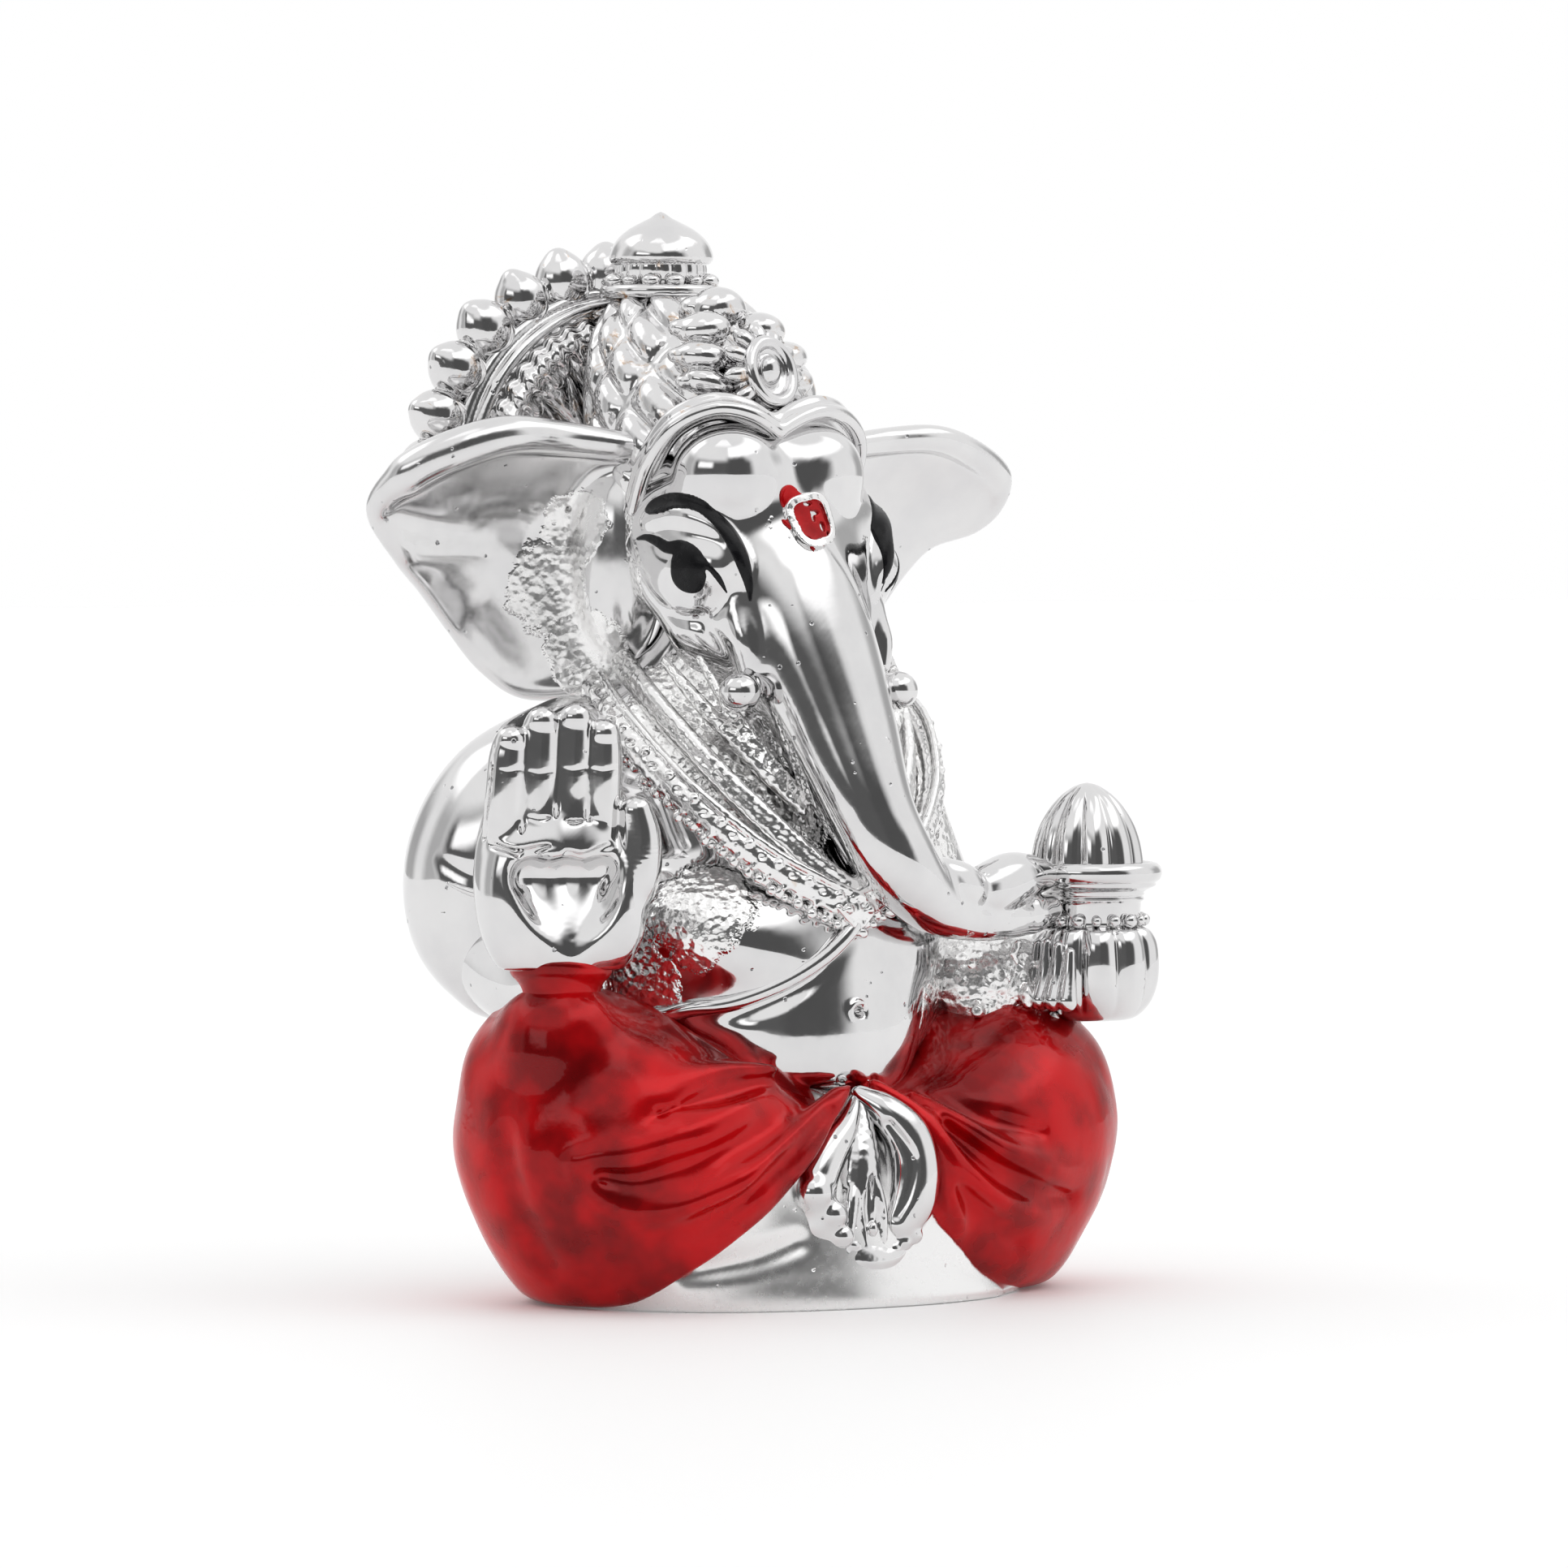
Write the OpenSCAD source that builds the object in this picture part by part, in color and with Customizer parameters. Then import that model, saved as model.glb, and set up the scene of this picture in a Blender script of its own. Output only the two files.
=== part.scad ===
// Seated elephant-headed idol: a plated casting set split at its sculpted boundaries.
// Millimetres. +Z up, the idol faces -Y, +X is the idol's own left.
// The origin is the centre of the flat underside of the base.

/* [Overall] */
// Height of the whole idol
idol_h = 70; // [50:1:120]
// Turn of the face and crown towards the idol's left, degrees
head_turn = 6; // [0:1:12]

/* [Base] */
// Width of the flat footprint
base_w = 37; // [32:0.5:42]
// Depth of the flat footprint
base_d = 25; // [22:0.5:28]
// Thickness of the slab at its rim
base_t = 1.6; // [1.2:0.1:2.4]
// How far the silver mound lies inside the drape's surface
mound_inset = 0.7; // [0.4:0.1:1.2]
// Thickness of the felt pad in the underside
felt_t = 0.8; // [0.5:0.1:1.2]
// Margin of bare metal around the felt pad
felt_margin = 3; // [2:0.5:5]

/* [Legs and feet] */
// Distance of each knee centre from the middle plane
knee_x = 14.5; // [13:0.25:16]
// Radius of the draped knee
knee_r = 9.2; // [8:0.1:10]
// Radius of the raised drape folds
fold_r = 0.9; // [0.5:0.1:1.4]
// Radius of a toe
toe_r = 0.95; // [0.7:0.05:1.2]

/* [Torso] */
// Width of the belly
belly_w = 25; // [22:0.5:28]
// Depth of the belly
belly_d = 22; // [20:0.5:24]
// Width of the chest
chest_w = 25; // [22:0.5:27]
// Thickness of the belt cord
cord_r = 0.75; // [0.5:0.05:1]
// Radius of the sash roll
sash_r = 1.1; // [0.8:0.05:1.4]
// Half width of the necklace band
band_r = 1.25; // [0.9:0.05:1.6]
// Radius of a necklace bead
bead_r = 0.55; // [0.4:0.05:0.8]

/* [Arms and hands] */
// Radius of the raised right hand's fingers
finger_r = 1.35; // [1.1:0.05:1.5]
// Length of the raised right hand's fingers
finger_l = 6; // [5:0.25:7]
// Ring radius of the red wrist cuff
cuff_r = 3.3; // [3:0.1:3.8]

/* [Bowl] */
// Radius of the bowl's rim
rim_r = 4.4; // [4:0.1:5]
// Radius of the ribbed belly of the bowl
bowl_r = 4.0; // [3.6:0.1:4.4]
// Height of the bowl
bowl_h = 9.3; // [8:0.1:10]
// Wall thickness of the bowl
bowl_wall = 0.9; // [0.7:0.05:1.2]
// Ribs round the bowl
bowl_ribs = 12; // [8:1:16]
// Radius of the sweet heap in the bowl
dome_r = 3.3; // [2.8:0.1:3.6]
// Height of the sweet heap above the rim
dome_h = 6.2; // [5:0.1:7]
// Upright ribs on the sweet heap
dome_ribs = 10; // [8:1:14]

/* [Head] */
// Width of the skull at the temples
skull_w = 16; // [14:0.5:17]
// Reach of an ear tip from the middle plane
ear_reach = 24.3; // [22:0.1:26]
// Half thickness of an ear
ear_t = 0.95; // [0.8:0.05:1.3]
// Radius of the trunk at its root
trunk_r = 4.7; // [4.2:0.1:5.2]
// Height of the seam between trunk and face
trunk_seam = 42.5; // [40:0.5:44]
// Radius of the trunk near its tip
tip_r = 2.1; // [1.8:0.1:2.5]

/* [Crown] */
// Radius of the turban at the brow
turban_r = 8; // [7.6:0.1:8.4]
// Radius of the plate on top of the turban
plate_r = 3.9; // [3.4:0.1:4.4]
// Radius of the finial bulb
finial_r = 3.35; // [3:0.05:3.7]
// Height of the finial
finial_h = 5.4; // [4.8:0.1:6]
// Radius of the oval medallion ring
medal_r = 2.05; // [1.8:0.05:2.4]
// Half width of the halo fan to its petal tips
halo_w = 16.2; // [15:0.1:17]
// Height of the halo fan to its petal tips
halo_h = 14.4; // [13:0.1:15]
// Petals on the halo fan
petal_n = 13; // [9:2:15]

/* [Joints] */
// Radius of the hidden spigots
peg_r = 1.6; // [1.2:0.1:2]
// Gap round a spigot in its socket
peg_gap = 0.08; // [0.05:0.01:0.15]

/* [Hidden] */
k_all = idol_h / 70;
silver = [0.84, 0.84, 0.85];
red = [0.72, 0.06, 0.08];
black = [0.04, 0.04, 0.05];
base_c = [0, -3.4];
bowl_c = [20.6, -8.5, 17.3];
hand_c = [-18.6, -6.2, 0];
hand_turn = -22;
halo_c = [0, 16.5, 52.6];
crown_top = [0, 10.4, 64.6];
fine = 20;
mid = 13;
low = 8;
crude = 6;

// ---------- shape helpers ----------

// One value of a smooth curve through b and c, with a and d as its neighbours.
function curve(a, b, c, d, t) =
    0.5 * ((2 * b) + (c - a) * t + (2 * a - 5 * b + 4 * c - d) * t * t
    + (3 * b - 3 * c + d - a) * t * t * t);

// Entry i of a list, held at its ends.
function held(p, i) = p[max(0, min(len(p) - 1, i))];

// A smooth path of [x, y, z, r] through the control points, n steps between each pair.
function path(p, n) = concat(
    [for (i = [0 : len(p) - 2]) for (j = [0 : n - 1])
        curve(held(p, i - 1), p[i], p[i + 1], held(p, i + 2), j / n)],
    [p[len(p) - 1]]);

// The same path on the idol's other side.
function flip(p) = [for (q = p) [-q[0], q[1], q[2], q[3]]];

// A ball at an [x, y, z, r] point.
module ball(p) {
    translate([p[0], p[1], p[2]])
        sphere(p[3]);
}

// A rounded limb along [x, y, z, r] points.
module limb(p, n = 2, fn = mid) {
    q = path(p, n);
    for (i = [0 : len(q) - 2])
        hull() {
            $fn = fn;
            ball(q[i]);
            ball(q[i + 1]);
        }
}

// An ellipsoid with centre c and half axes r.
module egg(c, r, turn = [0, 0, 0], fn = fine) {
    translate(c)
        rotate(turn)
            hull()
                scale(r)
                    sphere(1, $fn = fn);
}

// A round spigot from a point along a tilted axis.
module spigot(p, turn, r, l) {
    translate(p)
        rotate(turn)
            cylinder(r = r, h = l, $fn = mid);
}

// Head pieces are drawn facing straight forward and turned together.
module in_head() {
    rotate([0, 0, head_turn])
        children();
}

// Right and left copies.
module both() {
    children();
    mirror([1, 0, 0])
        children();
}

// ---------- plain solids that several pieces share ----------

// The flat footprint outline.
module footprint(inset = 0) {
    translate(base_c)
        polygon([for (i = [0 : 29])
            [(base_w / 2 - inset) * cos(i * 12), (base_d / 2 - inset) * sin(i * 12)]]);
}

// The slab and the mound between the knees.
module base_solid() {
    hull() {
        translate([0, 0, 0.4])
            linear_extrude(base_t - 0.8)
                footprint(0);
        linear_extrude(base_t)
            footprint(0.6);
    }
    intersection() {
        hem_prism(0);
        union() {
            leg_solid(-1, mound_inset);
            leg_solid(1, mound_inset);
            hull() {
                ball([-5, -8.6, 6, 5], $fn = mid);
                ball([5, -8.6, 6, 5], $fn = mid);
                ball([0, -8.8, 9.4, 3.4], $fn = mid);
            }
        }
    }
}

// The front area between the two hems, seen from the front, as a deep prism.
module hem_prism(gap) {
    translate([0, -6, 0])
        rotate([90, 0, 0])
            linear_extrude(14)
                offset(delta = gap)
                    polygon([[0.3, 14.6], [-2, 13.6], [-5.6, 10.8], [-8.6, 8.8], [-11.4, 6],
                        [-14.2, 2.4], [-16.6, 0], [10.8, 0], [7.6, 3], [5.4, 5.4], [4.6, 8],
                        [3.6, 10.4], [1.8, 13.2]]);
}

// Belly, chest, shoulders and neck.
module torso_solid() {
    egg([0, -0.5, 21.5], [belly_w / 2, belly_d / 2, 11.4], fn = 26);
    egg([0, 1.5, 31.5], [chest_w / 2, 9, 9.3]);
    limb([[-11, 3, 33.5, 4.3], [-6, 3, 36, 5], [0, 3, 37, 5.6], [6, 3.4, 36, 5], [10, 4, 33.5, 4.2]]);
    limb([[0, 2, 36, 7], [0, 1.6, 39.5, 6.4], [0, 1.4, 42, 6]]);
}

// One draped leg from the hip round the knee to the shin; s is -1 on the right.
// Each entry is an upper ball and a lower ball that fills the drape down to the base.
module leg_solid(s, inset = 0) {
    up = path([[7.6, 1.4, 10.2, 9], [12, -0.8, 10.4, 9.2], [knee_x, -4, 10.4, knee_r],
        [12.2, -7.2, 9.6, 8], [8, -9, 8.8, 6.2], [3.6, -9.4, 9, 4.4]], 2);
    down = path([[8, 1.6, 6.2, 7], [12, -0.6, 6, 7], [14.6, -4, 6, 6.6],
        [12.2, -7.6, 5.6, 6.2], [7.6, -9.4, 5.2, 5.6], [3.4, -9.8, 5, 5]], 2);
    for (i = [0 : len(up) - 2])
        hull() {
            $fn = mid;
            for (j = [i, i + 1]) {
                ball([s * up[j][0], up[j][1], up[j][2], up[j][3] - inset]);
                ball([s * down[j][0], down[j][1], down[j][2], down[j][3] - inset]);
            }
        }
}

// Upper arms.
module right_upper_solid() {
    limb([[-12, 3, 34, 4.8], [-15.6, 4.4, 31.4, 5.5], [-17.2, 5, 28, 5.7], [-17.4, 5, 24.6, 5.2],
        [-17.2, 3.6, 22.2, 4.3]]);
}

module left_upper_solid() {
    limb([[11, 4.5, 34, 4.6], [12.6, 4.6, 30.4, 4.6], [14.4, 4.4, 26.6, 4.5],
        [15.4, 3.4, 23.4, 4.1]]);
}

// Skull, forehead bumps, cheeks and jaw, facing straight forward.
module head_solid() {
    egg([0, 1.8, 50.4], [skull_w / 2, 7.8, 8.2]);
    for (s = [-1, 1]) {
        egg([s * 3.5, -3, 53.2], [3.9, 3.3, 3.4], fn = mid);
        egg([s * 4.3, -1.6, 45.2], [3.9, 4, 5.4], fn = mid);
        egg([s * 6, 0.4, 48.2], [2.6, 4.6, 4.6], fn = mid);
    }
    egg([0, -0.6, 40.6], [4.6, 4.6, 3.6], fn = mid);
    limb([[0, -1, 48.6, 5.2], [0, -2.2, 46, 4.9], [0, -3, 43.6, 4.5]], n = 3);
}

// The trunk down the front, curling to the idol's left over the belly.
module trunk_solid() {
    limb([[0.3, -2.6, 47.6, 3.9], [0.4, -4.1, 45.6, 4.3], [0.5, -5.2, 42.2, trunk_r],
        [0.9, -8.3, 36.8, 3.95], [1.3, -11.5, 31.6, 2.85], [2.6, -12.9, 27.9, 2.6],
        [6.4, -12, 25.5, 2.45], [11, -10.8, 24.9, 2.3], [15.2, -9.8, 24.6, tip_r]]);
}

// A block on one side of the seam between face and trunk: 20 above it, -20 below it.
module seam_side(up) {
    translate([0.5, -5.2, trunk_seam])
        rotate([-17, 0, 0])
            translate([0, 0, up])
                cube([60, 60, 40], center = true);
}

// The trunk below its seam with the face.
module trunk_lower() {
    difference() {
        trunk_solid();
        seam_side(20);
    }
}

// The wrapped turban leaning back behind the tiara.
module turban_solid() {
    limb([[0, 4.4, 53.6, turban_r], [0, 6.1, 56.4, turban_r - 0.4], [0, 8.2, 59.3, 6.3],
        [0, 10, 61.2, 4.5]], n = 3);
}

// ---------- base ----------

module base_plate() {
    color(silver)
        difference() {
            base_solid();
            translate([0, 0, -0.01])
                linear_extrude(felt_t + 0.06)
                    footprint(felt_margin - 0.1);
            torso_solid();
            feet_solid();
        }
}

module felt_pad() {
    color([0.25, 0.05, 0.06])
        linear_extrude(felt_t)
            footprint(felt_margin);
}

// ---------- legs, feet and cloth ----------

// Raised folds that sweep over the right knee.
module right_folds() {
    limb([[-2.6, -13.4, 13, 0.6], [-7, -15.2, 10.4, fold_r], [-12, -15.6, 8.8, fold_r],
        [-17, -13.4, 8.6, 0.6]], fn = low);
    limb([[-4, -14, 10.6, 0.6], [-8, -15.4, 8, fold_r], [-12.4, -15.3, 5.8, fold_r],
        [-16.4, -13, 4.8, 0.6]], fn = low);
}

// Raised folds that sweep over the left knee.
module left_folds() {
    limb([[4, -13.7, 12, 0.6], [9, -15.3, 9.4, fold_r], [14.5, -14.1, 7, fold_r],
        [19, -11, 6.2, 0.6]], fn = low);
    limb([[5.4, -14, 9.4, 0.6], [9.6, -14.8, 6.4, fold_r], [14, -13, 4, fold_r],
        [17.6, -10.4, 3.4, 0.6]], fn = low);
}

// Everything that a leg makes room for, on side s.
module leg_room(s) {
    hem_prism(0.02);
    torso_solid();
    feet_solid();
    translate([-s * 20 + s * 0.02, 0, 10])
        cube([40, 60, 60], center = true);
    translate([0, 0, -10 + base_t])
        cube([80, 60, 20], center = true);
}

module right_leg() {
    color(red)
        difference() {
            union() {
                leg_solid(-1);
                hull() {
                    ball([-15.6, -2.2, 16.4, 4.7], $fn = mid);
                    ball([-12.5, 0.5, 15.6, 4.6], $fn = mid);
                }
                right_folds();
            }
            leg_room(-1);
            right_forearm_solid();
            cuff_solid();
        }
}

module left_leg() {
    color(red)
        difference() {
            union() {
                leg_solid(1);
                left_folds();
            }
            leg_room(1);
            left_forearm_solid();
        }
}

// The two feet, meeting in front of the belly.
module right_foot_solid() {
    limb([[-0.9, -12.2, 12.6, 0.9], [-2.6, -13.5, 9.8, 1.4], [-3.7, -13.9, 7, 1.7],
        [-3.4, -14, 4.6, 1.4]], n = 3, fn = low);
    for (i = [0 : 3])
        ball([-4.9 + 0.85 * i, -14.9 - 0.15 * i, 6.4 - 0.75 * i, toe_r - 0.08 * i], $fn = crude);
}

module left_foot_solid() {
    limb([[0.5, -12.3, 13.2, 0.9], [2, -13.6, 11, 1.5], [2.9, -13.9, 8, 1.7],
        [2.8, -14, 5.4, 1.6], [2, -14, 3.4, 1.2]], n = 2, fn = low);
    for (i = [0 : 3])
        ball([2.6 - 0.7 * i, -15.1, 4.6 - 0.55 * i, toe_r - 0.08 * i], $fn = crude);
}

module feet_solid() {
    right_foot_solid();
    left_foot_solid();
    pleats_solid();
}

module pleats_solid() {
    for (i = [-1 : 1])
        limb([[0, -12.2, 12, 0.6], [-0.4 + i * 0.7, -13.6, 8.4, 0.75],
            [-0.5 + i * 1.1, -13.9, 5.2, 0.8], [-0.5 + i * 1.6, -14.2, 2.4, 0.7]], fn = crude);
}

module right_foot() {
    color(silver)
        difference() {
            right_foot_solid();
            torso_solid();
        }
}

module left_foot() {
    color(silver)
        difference() {
            left_foot_solid();
            torso_solid();
            right_foot_solid();
        }
}

module dhoti_pleats() {
    color(silver)
        difference() {
            pleats_solid();
            torso_solid();
            right_foot_solid();
            left_foot_solid();
        }
}

// ---------- torso and what lies on it ----------

module torso() {
    color(silver)
        difference() {
            torso_solid();
            translate([0, 0, -20 + base_t])
                cube([80, 60, 40], center = true);
            translate([0, 1.4, 35.9])
                cylinder(r = 2.6 + peg_gap, h = 12, $fn = mid);
            neck_cut();
        }
}

// The head sits on the neck at this height.
module neck_cut() {
    translate([0, 0, 60.4])
        cube([60, 60, 40], center = true);
}

module belt_cord() {
    color(silver)
        difference() {
            limb([[-11.4, -2.5, 18.2, cord_r], [-9.9, -6.9, 18.4, cord_r],
                [-6.8, -9.7, 18.9, cord_r], [-3, -11.1, 20.4, cord_r],
                [-0.4, -11.5, 22.4, cord_r], [1.6, -10.9, 24.8, cord_r],
                [3.4, -9.6, 27, cord_r * 0.8]], fn = crude);
            torso_solid();
            trunk_solid();
        }
}

// Centre line of the necklace on the right; the left is its mirror image.
band_line = [[-9.4, 3, 39, 1], [-9.7, -1.6, 37, 1], [-8.4, -5.3, 33.6, 1], [-5.8, -8, 30.2, 1],
    [-2.8, -10.1, 27.3, 1], [0, -11.2, 25.6, 1]];
sash_line = [[-7.6, 2.4, 40.4, 1], [-7.4, -2.2, 38.9, 1], [-6.1, -5.4, 35.6, 1],
    [-3.9, -7.7, 32, 1], [-1.6, -9.3, 28.9, 1], [0, -10.3, 27.4, 1]];

module band_solid() {
    both()
        limb([for (q = band_line) [q[0], q[1], q[2], band_r]], n = 1, fn = low);
}

module necklace_band() {
    color(silver)
        difference() {
            band_solid();
            torso_solid();
            sash_solid();
            trunk_solid();
            right_upper_solid();
            left_upper_solid();
        }
}

// Beads that hang along the lower edge of the necklace band.
module beads_solid() {
    both()
        for (q = path(band_line, 3))
            ball([q[0] * 0.99, q[1] - 0.65, q[2] - 1.55, bead_r], $fn = 6);
}

module necklace_beads() {
    color(silver)
        difference() {
            beads_solid();
            torso_solid();
            band_solid();
            trunk_solid();
            right_upper_solid();
            left_upper_solid();
        }
}

module sash_solid() {
    both()
        limb([for (q = sash_line) [q[0], q[1], q[2], sash_r]], n = 1, fn = low);
}

module chest_sash() {
    color(silver)
        difference() {
            sash_solid();
            torso_solid();
            trunk_solid();
            in_head()
                head_solid();
        }
}

// ---------- arms and hands ----------

module right_upper_arm() {
    color(silver)
        difference() {
            right_upper_solid();
            torso_solid();
            leg_solid(-1);
        }
}

module right_forearm_solid() {
    limb([[-17.2, 2.8, 22, 3.8], [-17.8, -0.6, 20.8, 3.3], [-18.2, -3.6, 20.4, 2.9],
        [-18.5, -5.6, 20.6, 2.6]], fn = low + 2);
}

module right_forearm() {
    color(silver)
        difference() {
            right_forearm_solid();
            right_upper_solid();
            torso_solid();
            cuff_solid();
            spigot([hand_c[0], hand_c[1], 19], [0, 0, 0], peg_r + peg_gap, 6);
        }
}

// The red wrist cuff: a rounded ring round the wrist.
module cuff_solid() {
    translate([hand_c[0], hand_c[1], 21.4])
        rotate_extrude($fn = fine)
            translate([cuff_r - 1.1, 0])
                circle(1, $fn = fine);
    translate([hand_c[0], hand_c[1], 20.4])
        cylinder(r = cuff_r - 1.1, h = 1.8, $fn = fine);
}

module right_cuff() {
    color(red)
        difference() {
            cuff_solid();
            spigot([hand_c[0], hand_c[1], 19], [0, 0, 0], peg_r + peg_gap, 6);
        }
}

// The raised open hand, palm forward, drawn about its own wrist axis.
module hand_solid() {
    translate([hand_c[0], hand_c[1], 0])
        rotate([0, 0, hand_turn]) {
            limb([[0, 0, 22.6, 2.5], [0, -0.2, 25, 3.6], [0.1, -0.3, 28, 4.2], [0, 0, 31, 3.9]]);
            egg([0, -0.4, 28.6], [5.3, 2.9, 5.6], fn = mid);
            for (i = [0 : 3])
                limb([[-3.9 + 2.55 * i, -0.9, 31.6, finger_r],
                    [-3.8 + 2.5 * i, -1.5, 34.6, finger_r],
                    [-3.7 + 2.45 * i, -1.5, 31.6 + finger_l - abs(i - 1.6) * 0.4,
                        finger_r - 0.1]], n = 1, fn = low);
            limb([[3.2, -1.6, 25.6, 1.5], [4.5, -2.1, 29, 1.4], [4.5, -2.3, 32.2, 1.15]],
                n = 2, fn = low);
        }
}

module right_hand() {
    color(silver)
        difference() {
            union() {
                hand_solid();
                spigot([hand_c[0], hand_c[1], 19.1], [0, 0, 0], peg_r, 5.6);
            }
            cuff_room();
            right_upper_solid();
            torso_solid();
        }
}

// Space taken by the cuff, with the spigot's core left standing.
module cuff_room() {
    difference() {
        cuff_solid();
        spigot([hand_c[0], hand_c[1], 18], [0, 0, 0], peg_r + 0.01, 8);
    }
}

module left_upper_arm() {
    color(silver)
        difference() {
            left_upper_solid();
            torso_solid();
            leg_solid(1);
        }
}

module left_forearm_solid() {
    limb([[15.6, 2.6, 22.6, 3.8], [16, -0.6, 21.4, 3.5], [16.8, -3, 20.4, 3.1],
        [17.6, -5, 19.6, 2.8]]);
}

module left_forearm() {
    color(silver)
        difference() {
            left_forearm_solid();
            left_upper_solid();
            torso_solid();
            left_hand_solid();
            bowl_room();
        }
}

// The palm under and beside the bowl with fingers round its inner side.
// A point beside the bowl: compass angle, distance out, height and ball radius.
function by_bowl(a, out, z, r) = [bowl_c[0] + out * cos(a), bowl_c[1] + out * sin(a), z, r];

// The palm lies behind and under the bowl; the fingers stand upright at its side.
module left_hand_solid() {
    egg([18.2, -7, 18.6], [3.5, 3.2, 2.3]);
    for (f = [[212, 22.4], [194, 23], [176, 23.2], [158, 22.8]])
        limb([by_bowl(165, 4.7, 18.5, 1.2),
            by_bowl((165 + f[0]) / 2, 4.9, 18.5, 1.1),
            by_bowl(f[0], 5, 18.7, 1),
            by_bowl(f[0], 4.8, 20.6, 0.85),
            by_bowl(f[0], 4.6, f[1], 0.65)], n = 2, fn = crude);
}

module left_hand() {
    color(silver)
        difference() {
            left_hand_solid();
            bowl_room();
            translate([0, 0, -0.04])
                leg_solid(1);
            trunk_solid();
        }
}

// ---------- bowl and sweets ----------

// Outer outline of the bowl, [radius, height].
bowl_line = [[0, 0], [1.9, 0], [2.6, 0.25], [3.4, 0.9], [bowl_r - 0.1, 2], [bowl_r, 3],
    [bowl_r - 0.15, 4.1], [3.3, 5.3], [2.85, 6], [2.8, 7], [3.1, 7.6], [rim_r - 0.2, 7.9],
    [rim_r, 8.3], [rim_r, bowl_h - 0.4], [rim_r - 0.3, bowl_h], [rim_r - 0.9, bowl_h]];

// The solid bowl shape grown by a small gap.
module bowl_room() {
    translate([bowl_c[0], bowl_c[1], bowl_c[2]])
        rotate_extrude($fn = mid)
            polygon(concat([for (q = bowl_line) [q[0] > 0 ? q[0] + 0.25 : 0, q[1]]],
                [[0, bowl_h]]));
}

module bowl() {
    color(silver)
        translate(bowl_c)
            difference() {
                union() {
                    rotate_extrude($fn = 64)
                        polygon(concat(bowl_line, [[rim_r - 0.9, bowl_h - 1.2], [0, bowl_h - 1.2]]));
                    for (i = [0 : bowl_ribs - 1])
                        rotate([0, 0, 360 / bowl_ribs * i])
                            translate([bowl_r - 0.9, 0, 2.9])
                                sphere(1.12, $fn = 48);
                }
                translate([0, 0, bowl_wall])
                    cylinder(r = bowl_r - bowl_wall - 1.5, h = bowl_h, $fn = 48);
            }
}

// Small beads round the neck of the bowl.
module bowl_beads() {
    color(silver)
        translate(bowl_c)
            difference() {
                for (i = [0 : 17])
                    rotate([0, 0, 20 * i + 10])
                        translate([3.2, 0, 6.2])
                            sphere(0.46, $fn = 48);
                rotate_extrude($fn = 64)
                    polygon(concat(bowl_line, [[0, bowl_h]]));
            }
}

// The heap of sweets, a dome of upright ribs seated in the bowl's mouth.
module laddoo_dome() {
    color(silver)
        translate([bowl_c[0], bowl_c[1], bowl_c[2] + bowl_h - 1.2])
            difference() {
                union() {
                    rotate([0, 0, 7])
                        cylinder(r1 = dome_r - 0.55, r2 = 1, h = dome_h + 0.6, $fn = 17);
                    ball([0, 0, dome_h + 0.42, 1.16], $fn = 14);
                    for (i = [0 : dome_ribs - 1])
                        rotate([0, 0, 360 / dome_ribs * (i + 0.5) + 2])
                            hull() {
                                ball([dome_r - 1, 0, 1.2, 1], $fn = low);
                                ball([dome_r - 1.35, 0, 3.4, 0.95], $fn = low);
                                ball([0.45, 0, dome_h + 0.5, 0.6], $fn = low);
                            }
                }
                translate([0, 0, -9.98])
                    cube([20, 20, 20], center = true);
            }
}

// ---------- head ----------

module head() {
    color(silver)
        union() {
            difference() {
                union() {
                    in_head()
                        head_solid();
                    intersection() {
                        trunk_solid();
                        seam_side(20);
                    }
                }
                translate([0, 0, 20.42])
                    cube([60, 60, 40], center = true);
                in_head()
                    spigot([0, 4, 50], [0, 0, 0], 2.4 + peg_gap, 12);
                in_head()
                    turban_solid();
                trunk_lower();
                trunk_spigot(peg_gap);
            }
            translate([0, 1.4, 36])
                cylinder(r = 2.6, h = 5, $fn = mid);
        }
}

// The trunk's spigot up into the face.
module trunk_spigot(gap) {
    spigot([0.5, -5.2, trunk_seam - 1.5], [-17, 0, 0], peg_r + gap, 4 + gap);
}

// Outline of the right ear blade, [x, y, z], from its upper root round to its lower root.
function ear_edge() = [[-7, 3, 54.6], [-11.9, 4.4, 55.2], [-16.4, 4.4, 55.4], [-20, 5.2, 54.4],
    [-22.4, 6.8, 52.9], [-ear_reach + ear_t, 9, 50.8], [-21.2, 9.4, 47.8], [-18.8, 10.4, 45.8],
    [-16.2, 11.2, 43.2], [-14, 10.8, 40.6], [-11.6, 9.4, 39], [-8, 6, 39.6], [-6.4, 4, 42]];

module ear_solid() {
    e = ear_edge();
    hub = [-12.6, 8.4, 48];
    for (i = [0 : len(e) - 2])
        hull() {
            $fn = low;
            ball([e[i][0], e[i][1], e[i][2], ear_t]);
            ball([e[i + 1][0], e[i + 1][1], e[i + 1][2], ear_t]);
            ball([hub[0], hub[1], hub[2], ear_t]);
        }
    hull() {
        $fn = low;
        ball([e[0][0], e[0][1], e[0][2], ear_t]);
        ball([e[len(e) - 1][0], e[len(e) - 1][1], e[len(e) - 1][2], ear_t]);
        ball([hub[0], hub[1], hub[2], ear_t]);
    }
    limb([for (i = [0 : 5]) [e[i][0], e[i][1] - 0.3, e[i][2], ear_t + 0.45 - 0.07 * i]], fn = low);
}

module ear_piece() {
    difference() {
        children();
        in_head()
            head_solid();
        in_head()
            turban_solid();
        torso_solid();
        trunk_solid();
    }
}

module right_ear() {
    color(silver)
        ear_piece()
            ear_solid();
}

module left_ear() {
    color(silver)
        ear_piece()
            mirror([1, 0, 0])
                ear_solid();
}

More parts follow.
